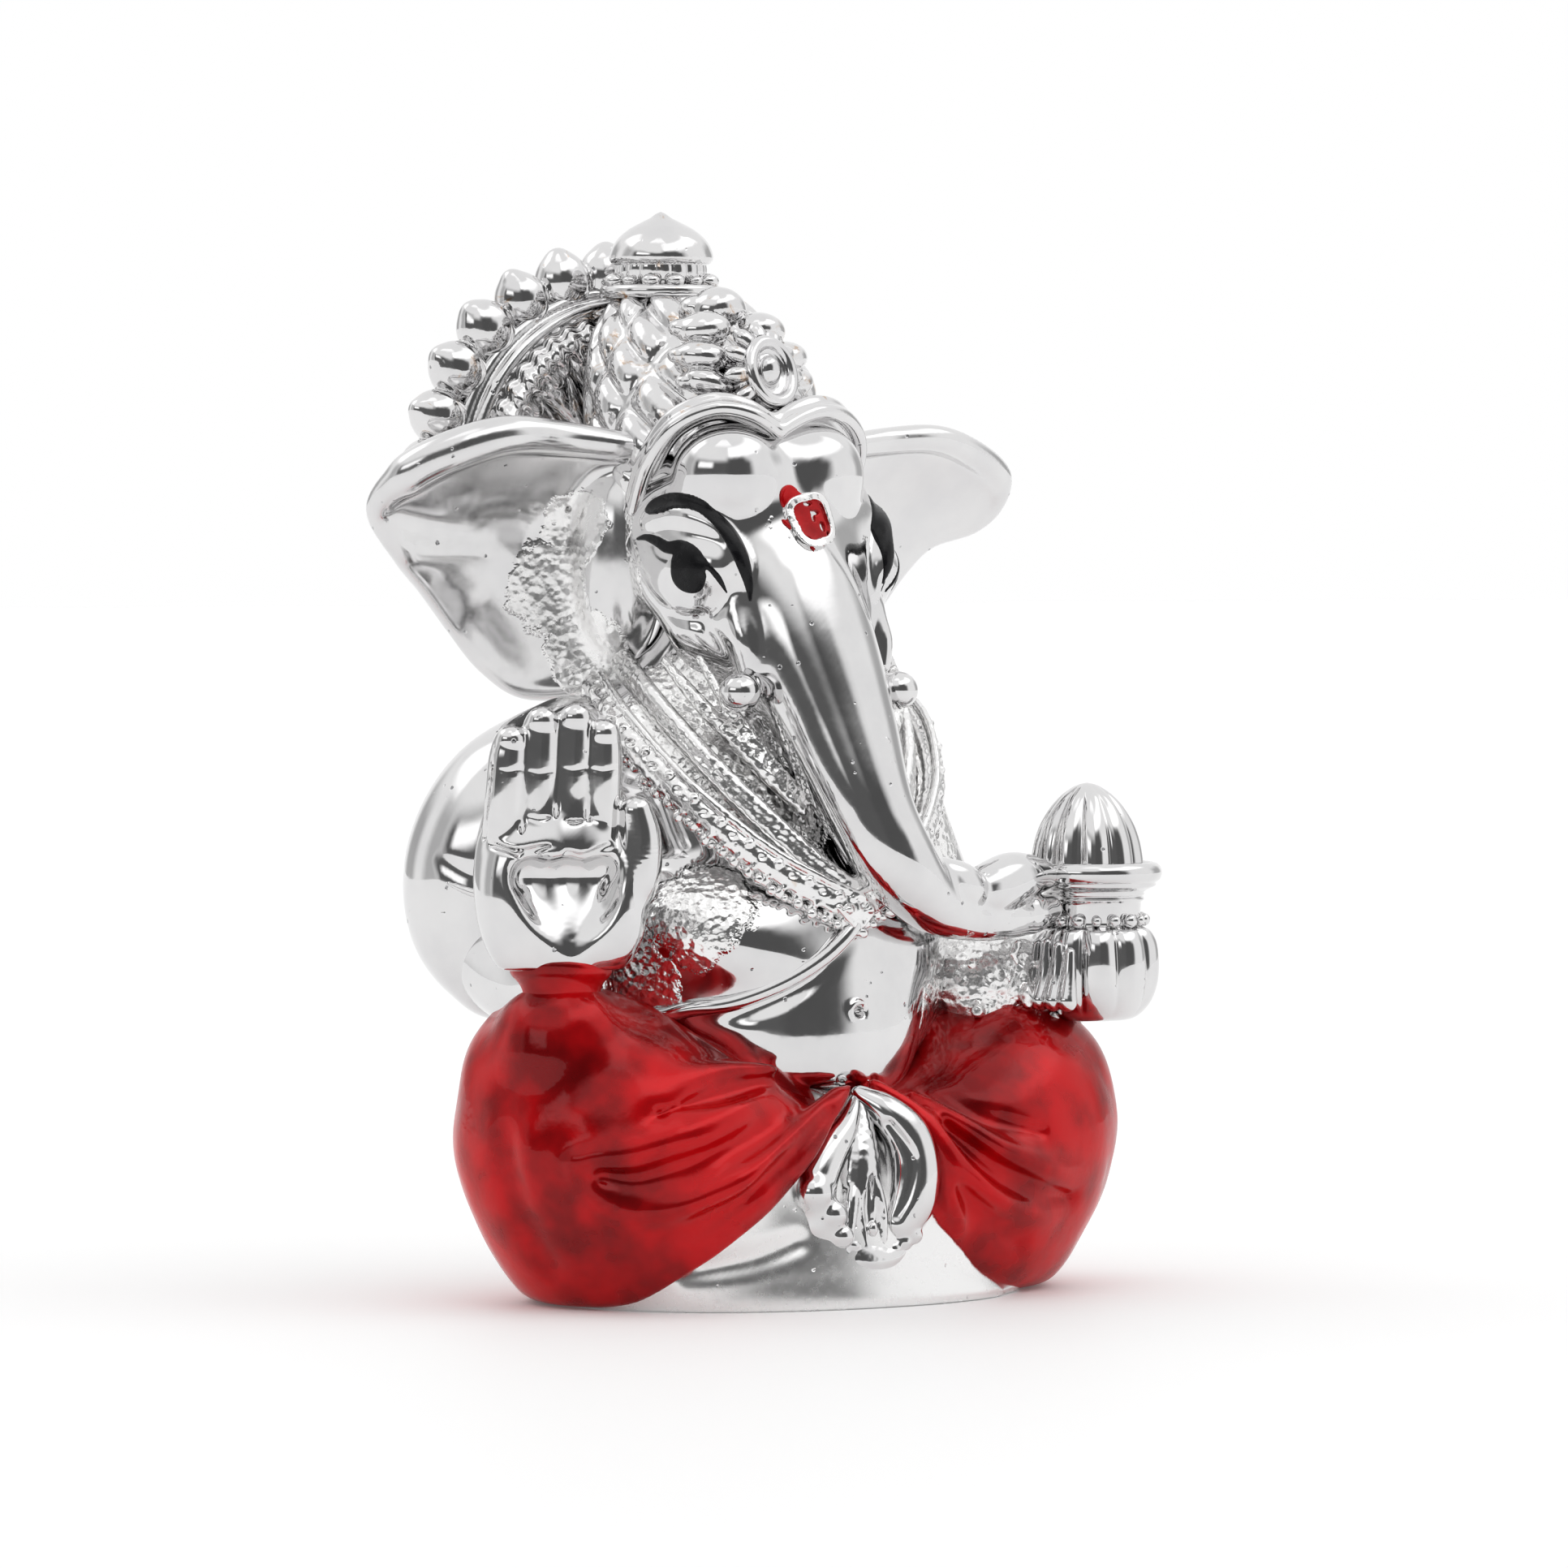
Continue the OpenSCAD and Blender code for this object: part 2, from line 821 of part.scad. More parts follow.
module trunk() {
    color(silver)
        union() {
            difference() {
                trunk_lower();
                torso_solid();
                bowl_room();
            }
            trunk_spigot(0);
        }
}

// Short ribbed tusk stubs beside the trunk.
module tusk_solid(s) {
    limb([[s * 4.4, -4.6, 40.6, 1.1], [s * 4.8, -5.6, 39.7, 1.2], [s * 5, -6.4, 39, 1.15],
        [s * 5.1, -7.2, 38.6, 0.9]], n = 3, fn = low);
}

module tusk(s) {
    difference() {
        tusk_solid(s);
        in_head()
            head_solid();
        trunk_solid();
    }
}

module right_tusk() {
    color(silver)
        tusk(-1);
}

module left_tusk() {
    color(silver)
        tusk(1);
}

// Black enamel eye line and pupil, seated on the face.
module eye_solid(s) {
    limb([[s * 8.1, -1, 48.9, 0.4], [s * 7.6, -3, 49, 0.55], [s * 6.6, -4.8, 47.6, 0.5],
        [s * 5.6, -5.8, 45.8, 0.35]], fn = crude);
    egg([s * 7.3, -3.2, 47.2], [1, 1.3, 1.3], fn = low);
}

module brow_solid(s) {
    limb([[s * 7.9, -1.6, 51.4, 0.35], [s * 7, -4.2, 51.4, 0.5], [s * 5.6, -5.8, 50, 0.6],
        [s * 4.4, -6.4, 48, 0.4]], fn = crude);
}

module on_face() {
    difference() {
        in_head()
            children();
        in_head()
            head_solid();
        trunk_solid();
    }
}

module right_eye() {
    color(black)
        on_face()
            eye_solid(-1);
}

module left_eye() {
    color(black)
        on_face()
            eye_solid(1);
}

module right_brow() {
    color(black)
        on_face()
            brow_solid(-1);
}

module left_brow() {
    color(black)
        on_face()
            brow_solid(1);
}

// The oval forehead mark: a raised rim with red enamel inside.
module tilak_place() {
    translate([0, -6, 50.6])
        rotate([80, 0, 0])
            children();
}

module tilak_rim_solid() {
    tilak_place()
        rotate_extrude($fn = mid)
            translate([1.45, 0])
                circle(0.45, $fn = crude);
    tilak_place()
        translate([0, 0, -2])
            difference() {
                cylinder(r = 1.6, h = 2, $fn = mid);
                translate([0, 0, -1])
                    cylinder(r = 1.3, h = 4, $fn = mid);
            }
}

module tilak_rim() {
    color(silver)
        on_face()
            tilak_rim_solid();
}

module tilak_enamel() {
    color(red)
        on_face()
            difference() {
                tilak_place()
                    translate([0, 0, -2])
                        cylinder(r = 1.25, h = 2.1, $fn = mid);
                tilak_rim_solid();
            }
}

// ---------- crown ----------

// The double-ridged brow band that dips to a point over the forehead.
tiara_line = [[-8.6, 3.4, 51.4, 0.75], [-8.4, 0.6, 53.4, 0.8], [-7, -2, 55.8, 0.85],
    [-5, -3.6, 57, 0.85], [-2.6, -4.2, 56.8, 0.85], [0, -4.2, 55.4, 0.85]];

module tiara_solid() {
    both() {
        limb(tiara_line, n = 1, fn = low);
        limb([for (q = tiara_line) [q[0] * 0.97, q[1] + 0.9, q[2] + 1.35, 0.95]], n = 1, fn = crude);
    }
}

module tiara() {
    color(silver)
        in_head()
            difference() {
                tiara_solid();
                head_solid();
                turban_solid();
            }
}

module turban() {
    color(silver)
        in_head()
            union() {
                difference() {
                    turban_solid();
                    translate([0, 16, 36])
                        cube([60, 60, 30], center = true);
                    translate([crown_top[0], crown_top[1], crown_top[2] + 20])
                        cube([30, 30, 40], center = true);
                    spigot([0, crown_top[1], 60], [0, 0, 0], 1.3 + peg_gap, 12);
                    halo_tab(peg_gap);
                }
                spigot([0, 4, 50.1], [0, 0, 0], 2.4, 3);
            }
}

// The round plate on the turban.
module crown_plate() {
    color(silver)
        in_head()
            translate(crown_top)
                difference() {
                    rotate_extrude($fn = 64)
                        polygon([[0, 0], [plate_r - 0.3, 0], [plate_r, 0.25], [plate_r, 0.6],
                            [plate_r - 0.25, 0.8], [0, 0.8]]);
                    translate([0, 0, -1])
                        cylinder(r = 1.3 + peg_gap, h = 3, $fn = 48);
                }
}

// The bead row between the plate and the finial.
module crown_beads() {
    color(silver)
        in_head()
            translate([crown_top[0], crown_top[1], crown_top[2] + 0.8])
                difference() {
                    for (i = [0 : 15])
                        rotate([0, 0, 22.5 * i])
                            translate([plate_r - 0.75, 0, 0.3])
                                sphere(0.55, $fn = 48);
                    translate([0, 0, -2])
                        cylinder(r = 6, h = 2, $fn = 48);
                    cylinder(r = plate_r - 0.95, h = 2, $fn = 48);
                }
}

// The bud-shaped finial with its stem through the plate.
module crown_finial() {
    color(silver)
        in_head()
            translate([crown_top[0], crown_top[1], crown_top[2] + 0.8])
                union() {
                    translate([0, 0, -4])
                        cylinder(r = 1.3, h = 4.2, $fn = 48);
                    cylinder(r = plate_r - 1, h = 0.9, $fn = 64);
                    translate([0, 0, 0.6])
                        rotate_extrude($fn = 64)
                            polygon([[0, 0], [2.2, 0], [2.9, 0.25], [finial_r, 0.9],
                                [finial_r, 1.5], [finial_r - 0.35, 2.2], [finial_r - 1, 3],
                                [finial_r - 1.8, 3.7], [finial_r - 2.6, finial_h - 1.1],
                                [0.3, finial_h - 0.7], [0, finial_h - 0.62]]);
                }
}

// The medallion faces forward and slightly up on the front of the turban.
module medal_place() {
    translate([0, -1.9, 59.6])
        rotate([72, 0, 0])
            scale([1, 1.08, 1])
                children();
}

module ring_solid() {
    medal_place()
        hull()
            rotate_extrude($fn = mid)
                translate([medal_r, 0])
                    circle(0.42, $fn = low);
    medal_place()
        translate([0, 0, -2.4])
            cylinder(r = medal_r + 0.2, h = 2.4, $fn = mid);
}

module gem_solid() {
    medal_place()
        egg([0, 0, 0.1], [medal_r - 0.45, medal_r - 0.45, 0.95], fn = mid);
}

module medallion_ring() {
    color(silver)
        in_head()
            difference() {
                ring_solid();
                gem_solid();
                turban_solid();
                tiara_solid();
            }
}

module medallion_gem() {
    color(silver)
        in_head()
            difference() {
                gem_solid();
                turban_solid();
            }
}

// Puffy leaves on both flanks of the medallion, and small pointed ones above it.
lobe_tips = [[0.6, 4.4, 64.2], [2, 3, 62.8], [3.1, 1.9, 61.1], [3.6, 1, 59.4], [3.2, 0.5, 57.9]];

module leaves_solid() {
    both()
        for (t = lobe_tips)
            hull() {
                ball([t[0] * 0.62, t[1] * 0.62 - 0.9, 59.6 + (t[2] - 59.6) * 0.62, 0.7], $fn = crude);
                ball([t[0], t[1], t[2], 1.12], $fn = low);
            }
    for (i = [0 : 6])
        hull() {
            a = 30 + 20 * i;
            ball([2.4 * cos(a), -1 + 0.7 * sin(a), 59.6 + 2.4 * sin(a), 0.5], $fn = 4);
            ball([3.3 * cos(a), -0.7 + 1 * sin(a), 59.6 + 3.3 * sin(a), 0.3], $fn = 4);
        }
}

module medallion_petals() {
    color(silver)
        in_head()
            difference() {
                leaves_solid();
                turban_solid();
                ring_solid();
                tiara_solid();
            }
}

// ---------- halo ----------

// The half fan behind the crown.
module fan(w, h, t) {
    translate([halo_c[0], halo_c[1] + t / 2, halo_c[2]])
        rotate([90, 0, 0])
            linear_extrude(t)
                polygon([for (i = [0 : 25]) [w * cos(i * 8 - 10), h * sin(i * 8 - 10)]]);
}

// The tab that holds the halo in the back of the turban.
module halo_tab(gap) {
    translate([-3 - gap, 7, 54 - gap])
        cube([6 + 2 * gap, 9.6 + gap, 4 + 2 * gap]);
}

module halo_plate() {
    color(silver)
        in_head()
            difference() {
                union() {
                    fan(halo_w - 2.2, halo_h - 2.2, 1.5);
                    fan(halo_w - 3.4, halo_h - 3.4, 2.3);
                    fan(halo_w - 5.6, halo_h - 5.6, 2.9);
                    halo_tab(0);
                }
                petals_solid(crude);
                turban_less_tab();
            }
}

// The turban's own space, without the slot for the tab.
module turban_less_tab() {
    difference() {
        turban_solid();
        halo_tab(0.02);
    }
}

module petals_solid(fn) {
    for (i = [0 : petal_n - 1]) {
        a = 90 + (i - (petal_n - 1) / 2) * 14.4;
        translate([halo_c[0] + (halo_w - 1.9) * cos(a), halo_c[1],
            halo_c[2] + (halo_h - 1.9) * sin(a)])
            rotate([0, 90 - a, 0])
                egg([0, 0, 0], [1.55, 1.15, 1.95], fn = fn);
    }
}

module halo_petals() {
    color(silver)
        in_head()
            petals_solid(low);
}

// ---------- drawing ----------

scale(k_all) {
    base_plate();
    felt_pad();
    torso();
    right_leg();
    left_leg();
    right_foot();
    left_foot();
    dhoti_pleats();
    belt_cord();
    necklace_band();
    necklace_beads();
    chest_sash();
    right_upper_arm();
    right_forearm();
    right_cuff();
    right_hand();
    left_upper_arm();
    left_forearm();
    left_hand();
    bowl();
    bowl_beads();
    laddoo_dome();
    head();
    right_ear();
    left_ear();
    trunk();
    right_tusk();
    left_tusk();
    right_eye();
    left_eye();
    right_brow();
    left_brow();
    tilak_rim();
    tilak_enamel();
    tiara();
    turban();
    crown_plate();
    crown_beads();
    crown_finial();
    medallion_ring();
    medallion_gem();
    medallion_petals();
    halo_plate();
    halo_petals();
}
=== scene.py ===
import math

import bpy
import numpy as np
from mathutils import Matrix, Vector


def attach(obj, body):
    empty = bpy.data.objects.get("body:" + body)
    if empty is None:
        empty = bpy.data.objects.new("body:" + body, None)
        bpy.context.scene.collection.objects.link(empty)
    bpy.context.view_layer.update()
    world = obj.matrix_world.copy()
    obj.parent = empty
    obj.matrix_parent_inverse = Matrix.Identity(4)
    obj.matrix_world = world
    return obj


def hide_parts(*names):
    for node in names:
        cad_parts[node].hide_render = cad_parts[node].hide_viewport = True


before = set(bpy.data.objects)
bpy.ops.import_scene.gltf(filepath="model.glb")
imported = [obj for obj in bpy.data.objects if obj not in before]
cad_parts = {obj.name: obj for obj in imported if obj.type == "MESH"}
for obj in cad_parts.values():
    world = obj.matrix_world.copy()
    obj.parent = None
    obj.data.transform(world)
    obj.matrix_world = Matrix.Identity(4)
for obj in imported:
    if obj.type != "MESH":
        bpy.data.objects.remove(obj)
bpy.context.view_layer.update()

MM = 0.001  # the shapes below are in millimetres, and become metres in new_object
FAR = 9.0  # a distance beyond any that matters, in millimetres
TURN = math.radians(6)  # the head looks a little to the figure's left
COARSE = 1.0  # grid step factor
RELAX = 2  # smoothing rounds on each skin

# ---------------------------------------------------------------- clay


def smin(a, b, k):
    """The lower of a and b, rounded off where they are within k of each other."""
    if k <= 0:
        return np.minimum(a, b)
    h = np.maximum(k - np.abs(a - b), 0) / k
    return np.minimum(a, b) - h * h * k * 0.25


def curve(pts, n):
    """A smooth path through control points, n steps between each pair."""
    p = np.array(pts, float)
    if n <= 1 or len(p) < 3:
        return p
    out = []
    last = len(p) - 1
    for i in range(last):
        a, b, c, d = p[max(i - 1, 0)], p[i], p[i + 1], p[min(i + 2, last)]
        for j in range(n):
            t = j / n
            bend, twist = 2 * a - 5 * b + 4 * c - d, 3 * b - 3 * c + d - a
            out.append(0.5 * (2 * b + (c - a) * t + bend * t * t + twist * t ** 3))
    out.append(p[-1])
    return np.array(out)


def spin(turn):
    """Rotation matrix from degrees about X, then Y, then Z."""
    x, y, z = (math.radians(v) for v in turn)
    rx = np.array([[1, 0, 0], [0, math.cos(x), -math.sin(x)], [0, math.sin(x), math.cos(x)]])
    ry = np.array([[math.cos(y), 0, math.sin(y)], [0, 1, 0], [-math.sin(y), 0, math.cos(y)]])
    rz = np.array([[math.cos(z), -math.sin(z), 0], [math.sin(z), math.cos(z), 0], [0, 0, 1]])
    return rz @ ry @ rx


class Clay:
    """Signed distances on a grid of step h millimetres, negative inside. skin() makes it a mesh."""

    def __init__(self, lo, hi, h):
        h = h * COARSE
        self.h = h
        self.lo = np.array(lo, float)
        self.n = np.ceil((np.array(hi, float) - self.lo) / h).astype(int) + 1
        self.ax = [(self.lo[i] + h * np.arange(self.n[i])).astype(np.float32) for i in range(3)]
        self.d = np.full(self.n, FAR, np.float32)

    def part(self, lo, hi):
        """The slices and coordinates of the grid between lo and hi, or None outside it."""
        sl = []
        for i in range(3):
            a = int(math.floor((lo[i] - self.lo[i]) / self.h))
            b = int(math.ceil((hi[i] - self.lo[i]) / self.h)) + 1
            a, b = max(a, 0), min(b, int(self.n[i]))
            if b <= a:
                return None
            sl.append(slice(a, b))
        x = self.ax[0][sl[0]][:, None, None]
        y = self.ax[1][sl[1]][None, :, None]
        z = self.ax[2][sl[2]][None, None, :]
        return tuple(sl), x, y, z

    def mix(self, sl, d, k, how):
        a = self.d[sl]
        if how == "add":
            self.d[sl] = smin(a, d, k)
        elif how == "cut":
            self.d[sl] = -smin(-a, d, k)
        else:
            self.d[sl] = -smin(-a, -d, k)
        return self

    def egg(self, c, r, k=0.0, turn=None, how="add"):
        r = np.array(r, float)
        m = float(r.max()) + k + 5 * self.h
        got = self.part([v - m for v in c], [v + m for v in c])
        if got is None:
            return self
        sl, x, y, z = got
        x, y, z = x - c[0], y - c[1], z - c[2]
        if turn is not None:
            q = spin(turn).T
            x, y, z = (q[i, 0] * x + q[i, 1] * y + q[i, 2] * z for i in range(3))
        k0 = np.sqrt((x / r[0]) ** 2 + (y / r[1]) ** 2 + (z / r[2]) ** 2)
        k1 = np.sqrt((x / r[0] ** 2) ** 2 + (y / r[1] ** 2) ** 2 + (z / r[2] ** 2) ** 2)
        d = np.where(k0 < 1e-6, -float(r.min()), k0 * (k0 - 1) / np.maximum(k1, 1e-6))
        return self.mix(sl, d.astype(np.float32), k, how)

    def chain(self, pts, k=0.0, n=4, how="add"):
        """A limb along [x, y, z, r] points, smoothed by n steps a span."""
        q = curve(pts, n)
        m = float(q[:, 3].max()) + k + 5 * self.h
        got = self.part(q[:, :3].min(0) - m, q[:, :3].max(0) + m)
        if got is None:
            return self
        sl, x, y, z = got
        tmp = np.full((x.shape[0], y.shape[1], z.shape[2]), FAR, np.float32)
        base = [s.start for s in sl]
        for a, b in zip(q[:-1], q[1:]):
            g = max(a[3], b[3]) + k + 5 * self.h
            sub = self.part(np.minimum(a[:3], b[:3]) - g, np.maximum(a[:3], b[:3]) + g)
            if sub is None:
                continue
            s2, u, v, w = sub
            loc = tuple(slice(s2[i].start - base[i], s2[i].stop - base[i]) for i in range(3))
            ba = b[:3] - a[:3]
            bb = float(ba @ ba) + 1e-12
            u, v, w = u - a[0], v - a[1], w - a[2]
            t = np.clip((u * ba[0] + v * ba[1] + w * ba[2]) / bb, 0, 1)
            axis = np.sqrt((u - ba[0] * t) ** 2 + (v - ba[1] * t) ** 2 + (w - ba[2] * t) ** 2)
            tmp[loc] = np.minimum(tmp[loc], axis - (a[3] + (b[3] - a[3]) * t))
        return self.mix(sl, tmp, k, how)

    def half(self, p, nrm, k=0.0):
        """Keep the side that the normal points away from."""
        v = np.array(nrm, float)
        v /= np.linalg.norm(v)
        sl, x, y, z = self.part(self.lo - 1, self.lo + self.h * self.n + 1)
        d = (x - p[0]) * v[0] + (y - p[1]) * v[1] + (z - p[2]) * v[2]
        return self.mix(sl, d.astype(np.float32), k, "keep")

    def soften(self, times):
        """Rounds off creases finer than a grid step or two, near the surface only."""
        reach = 5 * self.h
        d = np.clip(self.d, -reach, reach)
        for _ in range(times):
            for ax in range(3):
                a = np.swapaxes(d, 0, ax)
                b = a.copy()
                b[1:-1] = 0.25 * a[:-2] + 0.5 * a[1:-1] + 0.25 * a[2:]
                d = np.swapaxes(b, 0, ax)
        self.d = np.where(np.abs(self.d) < 0.8 * reach, d, self.d).astype(np.float32)
        return self

    def field(self):
        """The grid's coordinates, shaped to broadcast."""
        return self.part(self.lo - 1, self.lo + self.h * self.n + 1)[1:]


def sample(d, p):
    """Trilinear value and gradient of the grid d at points p in grid units."""
    n = np.array(d.shape)
    q = np.clip(p, 0, n - 1.001)
    i = q.astype(int)
    f = (q - i).astype(np.float32)
    c = [[[d[i[:, 0] + a, i[:, 1] + b, i[:, 2] + e] for e in (0, 1)] for b in (0, 1)] for a in (0, 1)]
    fx, fy, fz = f[:, 0], f[:, 1], f[:, 2]
    lerp = lambda a, b, t: a + (b - a) * t
    xs = [[lerp(c[0][b][e], c[1][b][e], fx) for e in (0, 1)] for b in (0, 1)]
    ys = [lerp(xs[0][e], xs[1][e], fy) for e in (0, 1)]
    val = lerp(ys[0], ys[1], fz)
    gz = ys[1] - ys[0]
    gy = lerp(xs[1][0] - xs[0][0], xs[1][1] - xs[0][1], fz)
    gx = lerp(
        lerp(c[1][0][0] - c[0][0][0], c[1][1][0] - c[0][1][0], fy),
        lerp(c[1][0][1] - c[0][0][1], c[1][1][1] - c[0][1][1], fy),
        fz,
    )
    return val, np.stack([gx, gy, gz], 1)


def skin_arrays(clay):
    """Surface nets over the grid, pulled back onto the zero surface."""
    d = clay.d
    pad = np.full(np.array(d.shape) + 2, 1.0, np.float32)
    pad[1:-1, 1:-1, 1:-1] = d
    d = pad
    low = clay.lo - clay.h
    s = d < 0
    cells = tuple(n - 1 for n in d.shape)
    any_in = np.zeros(cells, bool)
    all_in = np.ones(cells, bool)
    for a in (0, 1):
        for b in (0, 1):
            for c in (0, 1):
                q = s[a : a + cells[0], b : b + cells[1], c : c + cells[2]]
                any_in |= q
                all_in &= q
    idx = np.argwhere(any_in & ~all_in)
    corner = [(a, b, c) for a in (0, 1) for b in (0, 1) for c in (0, 1)]
    val = np.stack([d[idx[:, 0] + a, idx[:, 1] + b, idx[:, 2] + c] for a, b, c in corner], 1)
    pos = np.zeros((len(idx), 3))
    cnt = np.zeros(len(idx))
    for i, ci in enumerate(corner):
        for j, cj in enumerate(corner):
            if j <= i or sum(abs(p - q) for p, q in zip(ci, cj)) != 1:
                continue
            a, b = val[:, i], val[:, j]
            m = (a < 0) != (b < 0)
            t = np.where(m, a / np.where(m, a - b, 1), 0)
            for ax in range(3):
                pos[:, ax] += np.where(m, ci[ax] + (cj[ax] - ci[ax]) * t, 0)
            cnt += m
    pos = idx + pos / np.maximum(cnt, 1)[:, None]
    key = (idx[:, 0] * cells[1] + idx[:, 1]) * cells[2] + idx[:, 2]
    faces = []
    for ax in range(3):
        a0 = [slice(None)] * 3
        a1 = [slice(None)] * 3
        a0[ax] = slice(0, -1)
        a1[ax] = slice(1, None)
        lo_in = s[tuple(a0)]
        hi_in = s[tuple(a1)]
        e = np.argwhere(lo_in != hi_in)
        if not len(e):
            continue
        flip = lo_in[e[:, 0], e[:, 1], e[:, 2]]
        u, v = [(1, 2), (2, 0), (0, 1)][ax]
        quad = []
        for du, dv in ((-1, -1), (0, -1), (0, 0), (-1, 0)):
            c = e.copy()
            c[:, u] += du
            c[:, v] += dv
            quad.append((c[:, 0] * cells[1] + c[:, 1]) * cells[2] + c[:, 2])
        quad = np.stack(quad, 1)
        quad[~flip] = quad[~flip][:, ::-1]
        faces.append(quad)
    faces = np.searchsorted(key, np.concatenate(faces))
    for _ in range(RELAX):
        edge = np.concatenate([faces[:, [i, (i + 1) % 4]] for i in range(4)])
        acc = np.zeros_like(pos)
        num = np.zeros(len(pos))
        for a, b in ((0, 1), (1, 0)):
            for ax in range(3):
                acc[:, ax] += np.bincount(edge[:, a], pos[edge[:, b], ax], len(pos))
            num += np.bincount(edge[:, a], minlength=len(pos))
        pos = 0.4 * pos + 0.6 * acc / np.maximum(num, 1)[:, None]
        for _ in range(2):
            v, g = sample(d, pos)
            g2 = np.maximum((g ** 2).sum(1), 0.02)
            step = np.clip(v / g2, -0.6 / clay.h, 0.6 / clay.h)[:, None] * g
            pos -= np.clip(step, -0.5, 0.5)
    return low + pos * clay.h, faces


def new_object(name, verts, faces, turned=False):
    v = np.array(verts, float)
    if turned:
        c, s = math.cos(TURN), math.sin(TURN)
        v = np.stack([c * v[:, 0] - s * v[:, 1], s * v[:, 0] + c * v[:, 1], v[:, 2]], 1)
    v = v * MM
    me = bpy.data.meshes.new(name)
    if isinstance(faces, np.ndarray):
        n = len(faces)
        me.vertices.add(len(v))
        me.vertices.foreach_set("co", v.astype(np.float32).ravel())
        me.loops.add(n * 4)
        me.loops.foreach_set("vertex_index", faces.astype(np.int32).ravel())
        me.polygons.add(n)
        me.polygons.foreach_set("loop_start", np.arange(0, 4 * n, 4, dtype=np.int32))
        me.update(calc_edges=True)
        me.validate()
    else:
        me.from_pydata([tuple(p) for p in v], [], faces)
        me.update()
    me.polygons.foreach_set("use_smooth", np.ones(len(me.polygons), bool))
    ob = bpy.data.objects.new(name, me)
    bpy.context.scene.collection.objects.link(ob)
    return ob


def finish_piece(ob, nodes, material):
    ob.data.materials.append(material)
    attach(ob, "root")
    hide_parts(*nodes)
    return ob


def skin(clay, name, nodes, material, turned=False):
    verts, faces = skin_arrays(clay)
    return finish_piece(new_object(name, verts, faces, turned), nodes, material)


def local(pts):
    """World points into the frame of the turned head."""
    c, s = math.cos(TURN), math.sin(TURN)
    return [[c * p[0] + s * p[1], -s * p[0] + c * p[1], *p[2:]] for p in pts]


def mirror(pts):
    """The same path on the figure's other side."""
    return [[-p[0], *p[1:]] for p in pts]


# ---------------------------------------------------------------- materials


def mat_new(name):
    m = bpy.data.materials.new(name)
    m.use_nodes = True
    nt = m.node_tree
    nt.nodes.clear()
    out = nt.nodes.new("ShaderNodeOutputMaterial")
    bsdf = nt.nodes.new("ShaderNodeBsdfPrincipled")
    nt.links.new(bsdf.outputs[0], out.inputs[0])
    return m, nt, bsdf


def add(nt, kind, **kw):
    n = nt.nodes.new(kind)
    for k, v in kw.items():
        if k in n.inputs:
            n.inputs[k].default_value = v
        else:
            setattr(n, k, v)
    return n


def noise(nt, scale, detail=3.0, rough=0.5, vec=None, distortion=0.0):
    n = add(nt, "ShaderNodeTexNoise", Scale=scale, Detail=detail, Roughness=rough,
        Distortion=distortion)
    nt.links.new(vec, n.inputs["Vector"])
    return n.outputs["Fac"]


def ramp(nt, fac, lo, hi, a=0.0, b=1.0):
    """From a at lo to b at hi, with soft ends."""
    n = add(nt, "ShaderNodeMapRange", **{"From Min": lo, "From Max": hi, "To Min": a, "To Max": b})
    n.clamp = True
    n.interpolation_type = "SMOOTHSTEP"
    nt.links.new(fac, n.inputs["Value"])
    return n.outputs["Result"]


def calc(nt, op, a, b=0.0):
    """A math node; a and b are sockets or plain numbers."""
    n = nt.nodes.new("ShaderNodeMath")
    n.operation = op
    for i, v in enumerate((a, b)):
        if hasattr(v, "links"):
            nt.links.new(v, n.inputs[i])
        else:
            n.inputs[i].default_value = v
    return n.outputs[0]


def blend(nt, fac, a, b):
    n = nt.nodes.new("ShaderNodeMix")
    n.data_type = "RGBA"
    nt.links.new(fac, n.inputs["Factor"])
    for key, v in ((6, a), (7, b)):
        if hasattr(v, "links"):
            nt.links.new(v, n.inputs[key])
        else:
            n.inputs[key].default_value = (*v, 1)
    return n.outputs[2]


def bumped(nt, bsdf, height, strength, distance):
    bump = add(nt, "ShaderNodeBump", Strength=strength, Distance=distance)
    nt.links.new(height, bump.inputs["Height"])
    nt.links.new(bump.outputs[0], bsdf.inputs["Normal"])
    return bump.outputs[0]


def spots(nt, vec, places):
    """1 near any of the places (x, y, z, radius in mm), falling to 0 at its edge."""
    total = None
    for x, y, z, r in places:
        d = nt.nodes.new("ShaderNodeVectorMath")
        d.operation = "DISTANCE"
        nt.links.new(vec, d.inputs[0])
        d.inputs[1].default_value = (x * MM, y * MM, z * MM)
        m = ramp(nt, d.outputs["Value"], r * MM * 1.1, r * MM * 0.55)
        total = m if total is None else calc(nt, "MAXIMUM", total, m)
    return total


